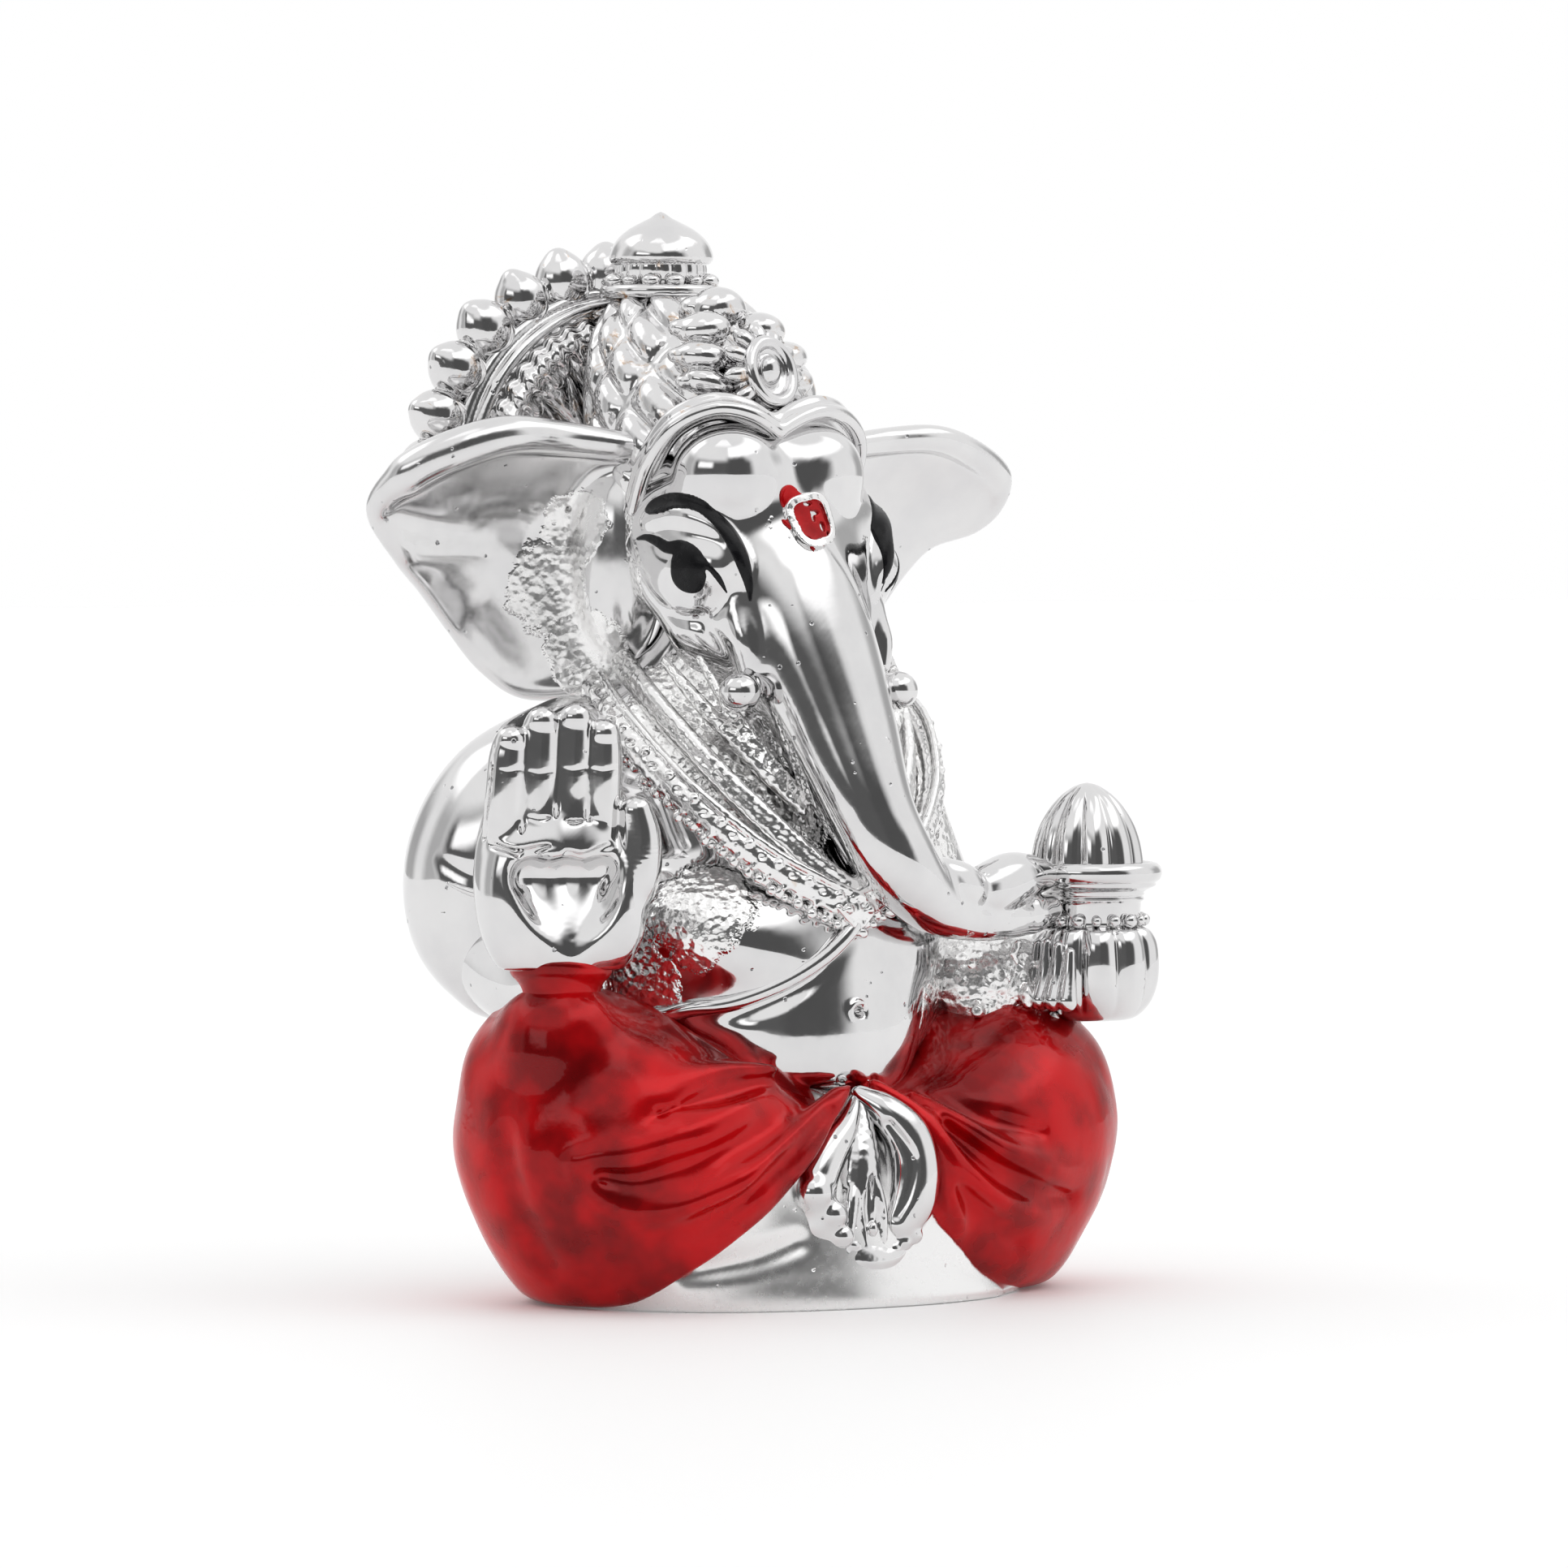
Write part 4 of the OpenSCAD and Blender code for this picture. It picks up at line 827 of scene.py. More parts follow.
def arms():
    c = Clay((-25, -3, 16), (-5, 12.5, 41), 0.18)
    c.chain([[-12, 3, 34, 4.8], [-15.4, 4.4, 31.4, 5.4], [-17.1, 5, 28, 5.6], [-17.4, 5, 24.6, 5.2],
        [-17.0, 3.6, 22, 4.2]], 0, 10)
    c.soften(6)
    # a fold at the elbow's outside
    c.chain([[-22.8, 2.6, 28.4, 0.2], [-21.4, 0.6, 27.4, 0.35], [-19.4, -0.4, 27.6, 0.3],
        [-17.0, -0.8, 28.4, 0.15]], 0.9, 8, "cut")
    c.chain([[-22.4, 1.6, 26.9, 0.15], [-20.9, 0.0, 26.2, 0.3], [-19.2, -0.8, 26.6, 0.15]], 0.5, 8)
    skin(c, "arm_right_upper", ["right_upper_arm"], S_ARM)
    c = Clay((-24.5, -11, 14.5), (-11.5, 8.5, 27.5), 0.18)
    c.chain([[-17.2, 2.8, 22, 3.8], [-17.8, -0.6, 20.8, 3.3], [-18.2, -3.6, 20.4, 2.9],
        [-18.5, -5.6, 20.6, 2.6]], 0, 10)
    c.soften(5)
    skin(c, "arm_right_fore", ["right_forearm"], S_ARM)
    c = Clay((4, -2.5, 17), (21, 11, 40), 0.18)
    c.chain([[11, 4.5, 34, 4.4], [12.4, 4.6, 30.4, 4.3], [14.0, 4.4, 26.6, 4.2],
        [15.2, 3.4, 23.4, 3.9]], 0, 10)
    c.soften(5)
    skin(c, "arm_left_upper", ["left_upper_arm"], S_ARM)
    c = Clay((8.5, -11.5, 12.5), (23, 8, 28), 0.16)
    c.chain([[15.6, 2.6, 22.6, 3.8], [16, -0.6, 21.4, 3.5], [16.6, -3, 20.4, 3.2],
        [16.8, -5.4, 19.8, 2.9]], 0, 10)
    c.egg((13.6, -5.4, 19.8), (4.2, 3.6, 3.5), 1.0)
    c.egg((15.8, -6.8, 20.2), (2.6, 2.2, 2.6), 0.8)
    c.soften(3)
    # ragged lower edge and lumps left by the mould
    rng = np.random.default_rng(4)
    c.chain([[11.4, -6.4, 20.5, 1.5], [12.0, -7.4, 18.2, 1.3], [13.2, -7.8, 17.0, 0.9]], 0.8, 6)
    for _ in range(60):
        a, b, r = rng.uniform(0, 1), rng.uniform(-1, 1), rng.uniform(0.25, 0.5)
        p = (10.6 + 7.0 * a, -8.75 - 0.6 * math.sin(a * 3), 20.0 + 2.6 * b)
        c.egg(p, (r, r * 0.5, r), 0.5, how="add" if rng.uniform() < 0.4 else "cut")
    skin(c, "arm_left_fore", ["left_forearm"], S_CAST)
    c = Clay((-24.5, -12, 18.2), (-12.5, -0.3, 24.2), 0.12)
    c.chain([[-18.6, -6.2, 18.8, 2.3], [-18.6, -6.2, 20.3, 2.5], [-18.6, -6.2, 21.7, 2.8]], 0, 8)
    n = 24
    ring = [[-18.6 + 2.75 * math.cos(2 * math.pi * i / n), -6.2 + 2.75 * math.sin(2 * math.pi * i / n),
        21.75 + 0.2 * math.sin(4 * math.pi * i / n), 0.52] for i in range(n + 1)]
    c.chain(ring, 0.6, 3)
    c.soften(3)
    skin(c, "cuff_red", ["right_cuff"], RED)


def placed(pts, centre, angle):
    """Points given about the wrist, turned by angle degrees and moved to it."""
    a = math.radians(angle)
    return [[centre[0] + math.cos(a) * p[0] - math.sin(a) * p[1],
        centre[1] + math.sin(a) * p[0] + math.cos(a) * p[1], *p[2:]] for p in pts]


def right_hand():
    cen, ang = (-18.6, -6.2), -22
    c = Clay((-26, -13, 20.8), (-11, -1.2, 40), 0.1)

    def ch(pts, k=0.3, n=8, how="add"):
        c.chain(placed(pts, cen, ang), k, n, how)

    def eg(p, r, k=0.3, how="add"):
        q = placed([p], cen, ang)[0]
        c.egg(q, r, k, (0, 0, ang), how)

    eg((-0.1, 0.2, 28.0), (5.4, 3.1, 7.6))
    ch([[0, 0.2, 21.4, 2.7], [0, 0.1, 23, 3.2], [0, 0, 25.2, 3.9], [0, 0.2, 28, 3.6]], 1.8)
    eg((-3.0, -1.2, 26.0), (2.4, 2.1, 4.6), 1.4)
    eg((3.1, -1.6, 25.4), (2.1, 2.0, 3.8), 1.2)
    c.soften(5)
    low = [-3.95, -1.85, 0.25, 2.3]
    tip = [-3.45, -1.45, 0.7, 2.5]
    tops = [37.1, 38.3, 38.5, 37.5]
    for a, b, t in zip(low, tip, tops):
        ch([[a, -0.5, 29.2, 1.15], [a * 0.7 + b * 0.3, -1.25, 31.6, 1.3],
            [a * 0.3 + b * 0.7, -1.35, 34.6, 1.28], [b, -1.35, t - 1.3, 1.15]], 0.45)
        eg((b, -1.65, t - 0.95), (1.02, 0.98, 0.98), 0.1)
    # the hollow of the palm, with creases running into it
    for x in (-2.2, 0, 2.1):
        ch([[x, -2.75, 27.5, 1.35], [x * 0.6 + 0.1, -3.65, 25.5, 1.25], [0.2, -4.3, 22.7, 0.5]], 0.9, 8,
            "cut")
    c.soften(3)
    for i in range(3):
        xl, xt = (low[i] + low[i + 1]) / 2, (tip[i] + tip[i + 1]) / 2
        ch([[xl, -2.35, 29.4, 0.2], [xl * 0.5 + xt * 0.5, -2.6, 33.2, 0.15], [xt, -2.4, 36.8, 0.22]],
            0.12, 8, "cut")
    ch([[-5.0, -1.2, 30.0, 0.15], [-4.7, -1.9, 33.2, 0.15], [-4.3, -1.7, 36.0, 0.12]], 0.15, 8, "cut")
    for z, r in ((34.3, 0.15), (31.2, 0.17)):
        for i, (a, b) in enumerate(zip(low, tip)):
            x = (a + b) / 2
            dz = 0.12 * math.sin(i * 2.1 + z)
            ch([[x - 0.75, -2.5, z + dz, 0.07], [x - 0.1, -2.78, z - 0.12 + dz, r],
                [x + 0.7, -2.5, z + dz, 0.07]], 0.14, 5, "cut")
    ch([[-4.6, -1.9, 29.6, 0.1], [-3.0, -2.8, 29.1, 0.2], [-1.0, -2.95, 29.5, 0.14],
        [0.8, -2.95, 28.9, 0.2], [2.6, -2.7, 29.5, 0.1]], 0.4, 8, "cut")
    ch([[-1.4, -3.2, 28.8, 0.1], [-0.6, -3.2, 27.6, 0.22], [-0.9, -3.0, 26.8, 0.08]], 0.2, 6, "cut")
    ch([[1.6, -3.2, 28.9, 0.12], [2.0, -3.4, 27.2, 0.26], [1.4, -3.4, 25.2, 0.22],
        [0.3, -3.2, 23.8, 0.1]], 0.35, 8, "cut")
    # the thumb lies along the palm's edge
    ch([[3.1, -1.2, 25.0, 1.5], [4.4, -1.7, 27.4, 1.6], [4.75, -1.9, 29.8, 1.4],
        [4.5, -2.1, 31.6, 1.05]], 0.35)
    ch([[3.2, -3.1, 27.2, 0.12], [3.35, -3.1, 29.4, 0.2], [3.3, -2.8, 31.4, 0.14]], 0.2, 8, "cut")
    ch([[2.7, -3.2, 28.2, 0.1], [2.75, -3.2, 30.0, 0.14]], 0.2, 1, "cut")
    c.half((0, 0, 21.6), (0, 0, -1), 0.3)
    skin(c, "hand_right", ["right_hand"], S_PLAIN)


def left_hand():
    c = Clay((13.0, -14, 14.5), (26.5, -0.5, 25.5), 0.11)
    c.egg((18.6, -5.4, 18.6), (3.6, 3.4, 2.4))
    c.chain([[17.4, -4.6, 20.0, 1.6], [20.8, -3.6, 19.6, 1.3], [23.6, -4.6, 19.4, 1.0]], 0.8, 6)
    # fingers held upright against the bowl, behind and beside it
    for a, top in ((216, 21.9), (205, 22.3), (193, 22.5), (180, 22.4), (165, 22.2)):
        t = math.radians(a)
        x, y = BC[0] + 4.5 * math.cos(t), BC[1] + 4.5 * math.sin(t)
        c.chain([[x + 0.6 * math.cos(t), y + 0.6 * math.sin(t), 18.8, 0.7],
            [x + 0.2 * math.cos(t), y + 0.2 * math.sin(t), 20.4, 0.5], [x, y, top, 0.38]], 0.16, 6)
    skin(c, "hand_left", ["left_hand"], S_PLAIN)


# ---------------------------------------------------------------- bowl and sweets


def lathe(name, rings, n, warp, centre, nodes, material, turned=False):
    """rings are (radius, height); warp(angle, height) scales the radius."""
    v = []
    for r, z in rings:
        for i in range(n):
            t = 2 * math.pi * i / n
            k = r * (warp(t, z) if warp else 1)
            v.append((centre[0] + k * math.cos(t), centre[1] + k * math.sin(t), centre[2] + z))
    return finish_piece(new_object(name, v, stack_faces(len(rings), n), turned), nodes, material)


def smooth_rings(pts, n):
    return [tuple(p) for p in curve([[a, b, 0] for a, b in pts], n)[:, :2]]


BC = (20.6, -8.5, 17.3)  # the middle of the bowl's foot


def bowl():
    out = [(0.05, 0.0), (1.7, 0.0), (2.8, 0.25), (3.65, 1.1), (4.08, 2.2), (4.2, 3.3), (4.15, 4.4),
        (3.98, 5.3), (3.6, 5.95), (3.2, 6.2), (3.05, 6.4), (3.08, 7.0), (3.12, 7.6)]
    rings = smooth_rings(out, 6)
    rings += [(3.14, 7.8), (3.3, 7.9), (3.34, 8.0), (3.28, 8.1), (3.18, 8.16), (3.3, 8.24),
        (3.36, 8.34), (3.3, 8.44), (3.6, 8.62), (4.0, 8.8), (4.12, 8.92), (4.06, 9.04), (4.2, 9.12),
        (4.4, 9.3), (4.5, 9.6), (4.48, 9.9), (4.36, 10.15), (4.15, 10.34), (3.9, 10.4), (3.65, 10.3),
        (3.55, 9.9), (0.05, 9.85)]

    def warp(t, z):
        if z < 0.2 or z > 6.3:
            return 1.0
        k = math.sin(math.pi * min(1, (z - 0.2) / 5.2) * 0.5) * min(1, max(0, (6.3 - z) / 0.35))
        lobe = abs(math.cos(5 * t + 0.86)) ** 0.6
        return 1 + 0.16 * k * (lobe - 0.72)

    lathe("bowl_pot", rings, 240, warp, BC, ["bowl"], S_PLAIN)
    c = Clay((15.5, -13.6, 22.6), (25.7, -3.4, 25.4), 0.09)
    for i in range(17):
        t = 2 * math.pi * (i + 0.3) / 17
        r = 0.42 + 0.07 * math.sin(i * 2.1)
        c.egg((BC[0] + 3.3 * math.cos(t), BC[1] + 3.3 * math.sin(t), BC[2] + 6.62), (r, r, r))
    skin(c, "bowl_bead_row", ["bowl_beads"], S_PLAIN)
    prof = smooth_rings([(3.5, 0.0), (3.48, 0.7), (3.3, 1.8), (2.95, 2.9), (2.4, 3.9), (1.7, 4.8),
        (1.0, 5.35), (0.45, 5.6), (0.03, 5.68)], 5)

    def ribs(t, z):
        return 1 + 0.15 * (abs(math.cos(5 * t + 0.5)) ** 0.7 - 0.6) * min(1, (5.9 - z) / 1.6)

    lathe("sweet_heap", prof, 192, ribs, (BC[0] - 0.45, BC[1] + 0.1, BC[2] + 9.9), ["laddoo_dome"],
        S_PLAIN)


# ---------------------------------------------------------------- head

TRUNK = [[-0.7, -2.4, 47.9, 3.9], [-0.5, -4.0, 45.6, 4.4], [-0.1, -5.3, 42.2, 4.8],
    [0.6, -8.2, 36.8, 4.05], [1.2, -11.3, 31.6, 3.0], [2.5, -12.8, 28.2, 2.6], [5.2, -12.5, 25.7, 2.1],
    [8.4, -11.6, 24.6, 1.65], [12.0, -10.6, 24.35, 1.5], [15.0, -9.8, 24.4, 1.2]]


def head_clay(h):
    c = Clay((-10.5, -17, 20.5), (20, 12, 60), h)
    c.egg((0, 1.8, 50.4), (8, 7.8, 8.2))
    c.egg((-4.5, -2.5, 53.0), (3.7, 3.5, 3.4), 0.9)
    c.egg((1.9, -3.0, 53.0), (3.7, 3.3, 3.4), 0.9)
    for s in (-1, 1):
        c.egg((s * 4.3, -1.6, 45.2), (3.9, 4, 5.4), 2.0)
        c.egg((s * 6, 0.4, 48.2), (2.6, 4.6, 4.6), 1.6)
    c.egg((0, -0.6, 40.6), (4.6, 4.6, 3.6), 1.5)
    c.chain(local(TRUNK), 2.2, 14)
    return c


def head():
    c = head_clay(0.155)
    c.soften(7)
    for s in (-1, 1):
        # the eye bulges like an almond, with a lid fold above and a crease below
        c.egg((s * 6.35, -1.8, 47.0), (2.35, 3.9, 2.7), 0.5)
        c.chain([[s * 8.7, 1.6, 46.4, 0.15], [s * 8.5, 0.6, 45.0, 0.3], [s * 8.3, -1.4, 43.9, 0.35],
            [s * 7.6, -3.6, 43.7, 0.3], [s * 6.8, -5.2, 44.6, 0.15]], 0.7, 8, "cut")
        c.chain([[s * 8.5, 0.6, 50.0, 0.2], [s * 8.1, -1.6, 50.4, 0.35], [s * 7.6, -3.3, 50.1, 0.42],
            [s * 6.6, -4.8, 49.2, 0.45], [s * 5.9, -5.6, 47.4, 0.4], [s * 5.3, -5.5, 45.4, 0.15]], 0.9,
            8)
        # the cheek's fold down to the tusk
        c.chain([[s * 7.6, -3.4, 43.6, 0.2], [s * 7.1, -4.4, 42.2, 0.4], [s * 6.2, -5.2, 40.8, 0.3]],
            0.8, 8, "cut")
        c.chain([[s * 5.8, -5.2, 44.2, 0.1], [s * 5.8, -5.9, 42.4, 0.5], [s * 5.5, -6.1, 40.6, 0.5]],
            1.5, 8)
    # nasal lines beside the mark
    c.chain([[0.2, -7.4, 48.6, 0.12], [1.4, -7.9, 46.6, 0.22], [2.4, -8.6, 43.9, 0.12]], 0.6, 8, "cut")
    c.chain([[-1.5, -5.6, 55.4, 0.3], [-1.4, -6.2, 53.6, 0.4], [-1.2, -6.6, 52.0, 0.2]], 0.9, 6, "cut")
    # the rolled end: two humps over the tube, and a bead at the bowl's rim
    c.chain(local([[5.6, -12.9, 27.3, 1.2], [7.2, -12.7, 26.6, 1.55], [8.9, -12.0, 26.1, 1.3],
        [10.6, -11.5, 26.3, 1.75], [12.6, -10.8, 26.8, 1.75], [14.6, -10.0, 27.0, 1.3],
        [15.8, -9.6, 26.9, 1.0]]), 0.35, 12)
    c.chain(local([[14.6, -9.9, 24.5, 1.2], [16.4, -9.4, 24.7, 0.95]]), 0.4, 1)
    skin(c, "head_and_trunk", ["head", "trunk"], S_HEAD, True)
    return c


def on_face(face, lo, hi, h, region, thick):
    """A thin layer over the face, inside a region given in head coordinates."""
    c = Clay(lo, hi, h)
    x, y, z = c.field()
    gx, gy, gz = np.broadcast_arrays(x, y, z)
    p = np.stack([(g - face.lo[i]) / face.h for i, g in enumerate((gx, gy, gz))], -1).reshape(-1, 3)
    d, _ = sample(face.d, p)
    d = d.reshape(gx.shape)
    c.d = np.maximum(np.maximum(d - thick, -d - 0.35), region(gx, gy, gz)).astype(np.float32)
    return c


# painted lines over the right eye, seen from the front right: across, height, half width
LID = [[-7.75, 48.85, 0.12], [-7.2, 48.95, 0.24], [-6.5, 48.7, 0.34], [-5.8, 48.3, 0.4],
    [-5.0, 48.35, 0.46], [-4.3, 48.0, 0.5], [-3.7, 47.5, 0.36], [-3.1, 47.0, 0.2], [-2.5, 46.3, 0.2],
    [-2.0, 45.4, 0.06]]
PUPIL = [[-4.55, 47.3, 1.05], [-4.45, 46.6, 1.12], [-4.2, 46.2, 0.85]]
BROW = [[-7.1, 50.7, 0.22], [-6.5, 51.0, 0.5], [-5.4, 51.35, 0.5], [-4.1, 51.15, 0.42],
    [-3.2, 50.6, 0.38], [-2.3, 49.75, 0.46], [-1.5, 48.6, 0.52], [-0.95, 47.3, 0.46], [-0.6, 46.0, 0.3],
    [-0.5, 44.9, 0.1]]


def painted(line, s):
    """A brushed line on side s (-1 right, 1 left), as wide as given when seen from its front."""
    q = curve([[*p[:2], 0, p[2]] for p in line], 6)

    def region(x, y, z):
        u = -s * 0.788 * x - 0.6157 * y
        best = np.full(x.shape, FAR, np.float32)
        for a, b in zip(q[:-1], q[1:]):
            du, dz = b[0] - a[0], b[1] - a[1]
            t = np.clip(((u - a[0]) * du + (z - a[1]) * dz) / (du * du + dz * dz + 1e-9), 0, 1)
            best = np.minimum(best, np.hypot(u - a[0] - du * t,
                z - a[1] - dz * t) - (a[3] + (b[3] - a[3]) * t))
        return np.maximum(best, (2.2 if s < 0 else 5.6) - s * x)

    return region


def face_paint(face):
    for s, side in ((-1, "right"), (1, "left")):
        lid, ball = painted(LID, s), painted(PUPIL, s)

        def eye(x, y, z, a=lid, b=ball):
            return np.minimum(a(x, y, z), b(x, y, z))

        lo, hi = (min(s * 3.4, s * 10.4), -9, 43.8), (max(s * 3.4, s * 10.4), 3.2, 50.4)
        skin(on_face(face, lo, hi, 0.1, eye, 0.08), f"eye_{side}_enamel", [f"{side}_eye"],
            BLACK, True)
        lo, hi = (min(s * 2.4, s * 10.4), -9, 44.2), (max(s * 2.4, s * 10.4), 3.0, 53)
        skin(on_face(face, lo, hi, 0.1, painted(BROW, s), 0.1), f"brow_{side}_enamel", [f"{side}_brow"],
            BLACK, True)
    cen = (-0.8, -6.4, 50.1)

    def ring(x, y, z):
        w = 0.12 * np.sin(4 * np.arctan2(z - cen[2], x - cen[0]) + 0.7)
        r = np.sqrt(((x - cen[0]) / 1.5) ** 2 + ((z - cen[2]) / 1.45) ** 2) + w * 0.6
        return np.abs(r - 1.06) * 1.45 - 0.25

    def inside(x, y, z):
        r = np.sqrt(((x - cen[0]) / 1.5) ** 2 + ((z - cen[2]) / 1.45) ** 2)
        chip = 0.28 * np.sin(x * 4.2 + 0.6) * np.sin(z * 3.6 + 1) + 0.16 * np.sin(x * 9 + z * 7)
        spill = np.hypot((x - cen[0] + 1.15), (z - cen[2] - 1.3) * 0.8) - 0.75
        shape = np.minimum((r - 1) * 1.45 - 0.15 + chip, spill)
        # silver showing where the enamel has chipped off
        for dx, dz, rx, rz in ((0.35, 0.45, 0.34, 0.16), (0.15, 0.15, 0.14, 0.3),
                (0.75, -0.45, 0.2, 0.34), (-0.1, 1.0, 0.28, 0.13)):
            gone = 0.2 * (1 - np.hypot((x - cen[0] - dx) / rx, (z - cen[2] - dz) / rz))
            shape = np.maximum(shape, gone)
        return shape

    c = on_face(face, (-3.8, -9.5, 47.2), (1.8, -3.5, 52.8), 0.08, ring, 0.34)
    skin(c, "mark_rim", ["tilak_rim"], S_ORN, True)
    c = on_face(face, (-4.0, -9.5, 47.2), (1.8, -3.5, 52.8), 0.08, inside, 0.16)
    skin(c, "mark_enamel", ["tilak_enamel"], RED_E, True)


def tusks():
    for s, side in ((-1, "right"), (1, "left")):
        c = Clay((min(s * 2.5, s * 8), -10.5, 36.5), (max(s * 2.5, s * 8), -2.5, 42.5), 0.09)
        c.chain([[s * 3.4, -6.0, 39.9, 1.0], [s * 4.6, -6.7, 39.4, 0.95], [s * 5.4, -7.1, 39.2, 0.9]],
            0.1, 6)
        c.egg((s * 6.0, -7.4, 39.05), (1.35, 1.35, 1.25), 0.2)
        for t in (0.0, 0.6, 1.15):
            a = (s * (3.7 + t), -6.15 - 0.5 * t, 39.8 - 0.35 * t)
            c.chain([[a[0], a[1] + 1.1 * math.cos(2 * math.pi * i / 12),
                a[2] + 1.1 * math.sin(2 * math.pi * i / 12), 0.12] for i in range(13)], 0.15, 1, "cut")
        skin(c, f"tusk_{side}_stub", [f"{side}_tusk"], S_PLAIN)


EAR_R = [[-7, 3, 54.6], [-11.9, 4.4, 55.2], [-16.4, 4.4, 55.4], [-20, 5.2, 54.4], [-22.4, 6.8, 52.9],
    [-23.35, 9, 50.8], [-21.2, 9.4, 47.8], [-18.8, 10.4, 45.8], [-16.2, 11.2, 43.2], [-14, 10.8, 40.6],
    [-11.6, 9.4, 39], [-8, 6, 39.6], [-6.4, 4, 42], [-6, 3, 48]]
EAR_L = [[7, 3, 54.6], [11.9, 4.4, 55.2], [16.4, 4.4, 55.4], [20, 5.2, 54.4], [22.9, 6.6, 52.9],
    [23.8, 8.2, 51.2], [22.6, 9.2, 49.8], [19.6, 9.9, 48.8], [17.6, 10.4, 46.9], [15.6, 11.0, 44.0],
    [13.6, 10.8, 41.2], [11.6, 9.4, 39.6], [8, 6, 40], [6.4, 4, 42.4], [6, 3, 48]]


def ears():
    for s, side, edge in ((-1, "right", EAR_R), (1, "left", EAR_L)):
        lo = (-26, 0.5, 36.5) if s < 0 else (4, 0.5, 36.5)
        hi = (-4, 14.5, 58.5) if s < 0 else (26, 14.5, 58.5)
        c = Clay(lo, hi, 0.16)
        e = curve([[*p, 0] for p in edge], 8)[:, :3]
        hub = np.array([s * 13.5, 10.0, 48.2])
        ang = np.arctan2(e[:, 2] - hub[2], e[:, 0] - hub[0])
        rad = np.hypot(e[:, 2] - hub[2], e[:, 0] - hub[0])
        order = np.argsort(ang)
        ang, rad, ey = ang[order], rad[order], e[order, 1]
        ang = np.concatenate([ang - 2 * math.pi, ang, ang + 2 * math.pi])
        rad, ey = np.tile(rad, 3), np.tile(ey, 3)
        x, y, z = c.field()
        X, Z = x[:, 0, :], z[0, 0, :][None, :] + 0 * x[:, 0, :]
        th = np.arctan2(Z - hub[2], X - hub[0])
        rr = np.hypot(Z - hub[2], X - hub[0])
        R = np.interp(th, ang, rad)
        Y = np.interp(th, ang, ey)
        q = rr / R
        dish = hub[1] + (Y - hub[1]) * np.clip(q, 0, 1.15) ** 2
        flat = np.abs(y - dish[:, None, :]) * 0.8 - (0.75 + 0.5 * np.clip(1 - q, 0, 1)[:, None, :])
        rim = ((rr - R) * 0.85)[:, None, :]
        c.d = -smin(-flat, -(rim + 0 * y), 0.4).astype(np.float32)
        c.d = np.clip(c.d, -FAR, FAR)
        c.soften(4)
        c.chain([[*p, 0.72] for p in e[:-16]], 0.5, 1)
        n = 42
        fat = 0.95 if s < 0 else 0.45
        top = [[p[0], p[1] - 0.35, p[2] + 0.1,
            (0.45 + fat * math.cos((i - 26) / 30 * math.pi / 2) ** 0.7) * min(1,
            (46 - i) / 14)] for i, p in enumerate(e[:n])]
        c.chain(top[::2], 0.5, 3)
        c.egg((s * 7.4, 5.2, 47.5), (2.8, 3.0, 6.6), 1.2)
        c.soften(2)
        # ragged casting by the head
        rng = np.random.default_rng(7)
        for _ in range(26):
            a, b, r = rng.uniform(-1, 1), rng.uniform(-1, 1), rng.uniform(0.12, 0.32)
            px, pz = 10.6 + 1.6 * a, 46.6 + 5.6 * b
            tt = math.atan2(pz - hub[2], s * px - hub[0])
            qq = math.hypot(pz - hub[2], s * px - hub[0]) / float(np.interp(tt, ang, rad))
            py = hub[1] + (float(np.interp(tt, ang, ey)) - hub[1]) * min(qq, 1.1) ** 2 - 0.9
            c.egg((s * px, py, pz), (r, r * 0.8, r), 0.3, how="add" if rng.uniform() < 0.55 else "cut")
        skin(c, f"ear_{side}_blade", [f"{side}_ear"], S_EAR)


# ---------------------------------------------------------------- crown

TIARA = [[-8.2, 2.4, 50.6], [-8.7, 0.4, 53.4], [-8.1, -1.6, 55.9], [-6.1, -3.3, 57.1],
    [-3.9, -4.3, 56.8], [-1.8, -4.6, 55.7], [0.2, -4.5, 56.6], [2.2, -4.3, 57.0], [4.6, -3.5, 56.6],
    [6.8, -2.1, 55.2], [8.0, -0.2, 53.2], [8.0, 2.0, 50.8]]


def tiara():
    c = Clay((-11, -7, 48.6), (11, 6, 60), 0.12)
    dip = 5  # the point over the brow where the two arches meet
    for half in (TIARA[: dip + 1], TIARA[dip:]):
        c.chain([[p[0], p[1] + 0.1, p[2] + 0.1, 0.5] for p in half], 0.2, 8)
        c.chain([[p[0] * 0.97, p[1] + 0.8, p[2] + 0.75, 0.42] for p in half], 0.45, 8)
        c.chain([[p[0] * 0.9, p[1] + 1.1, p[2] + 0.1, 0.8] for p in half], 0.1, 8)
    c.soften(1)
    skin(c, "tiara_band", ["tiara"], silver("silver_tiara", tarnish=0.2), True)


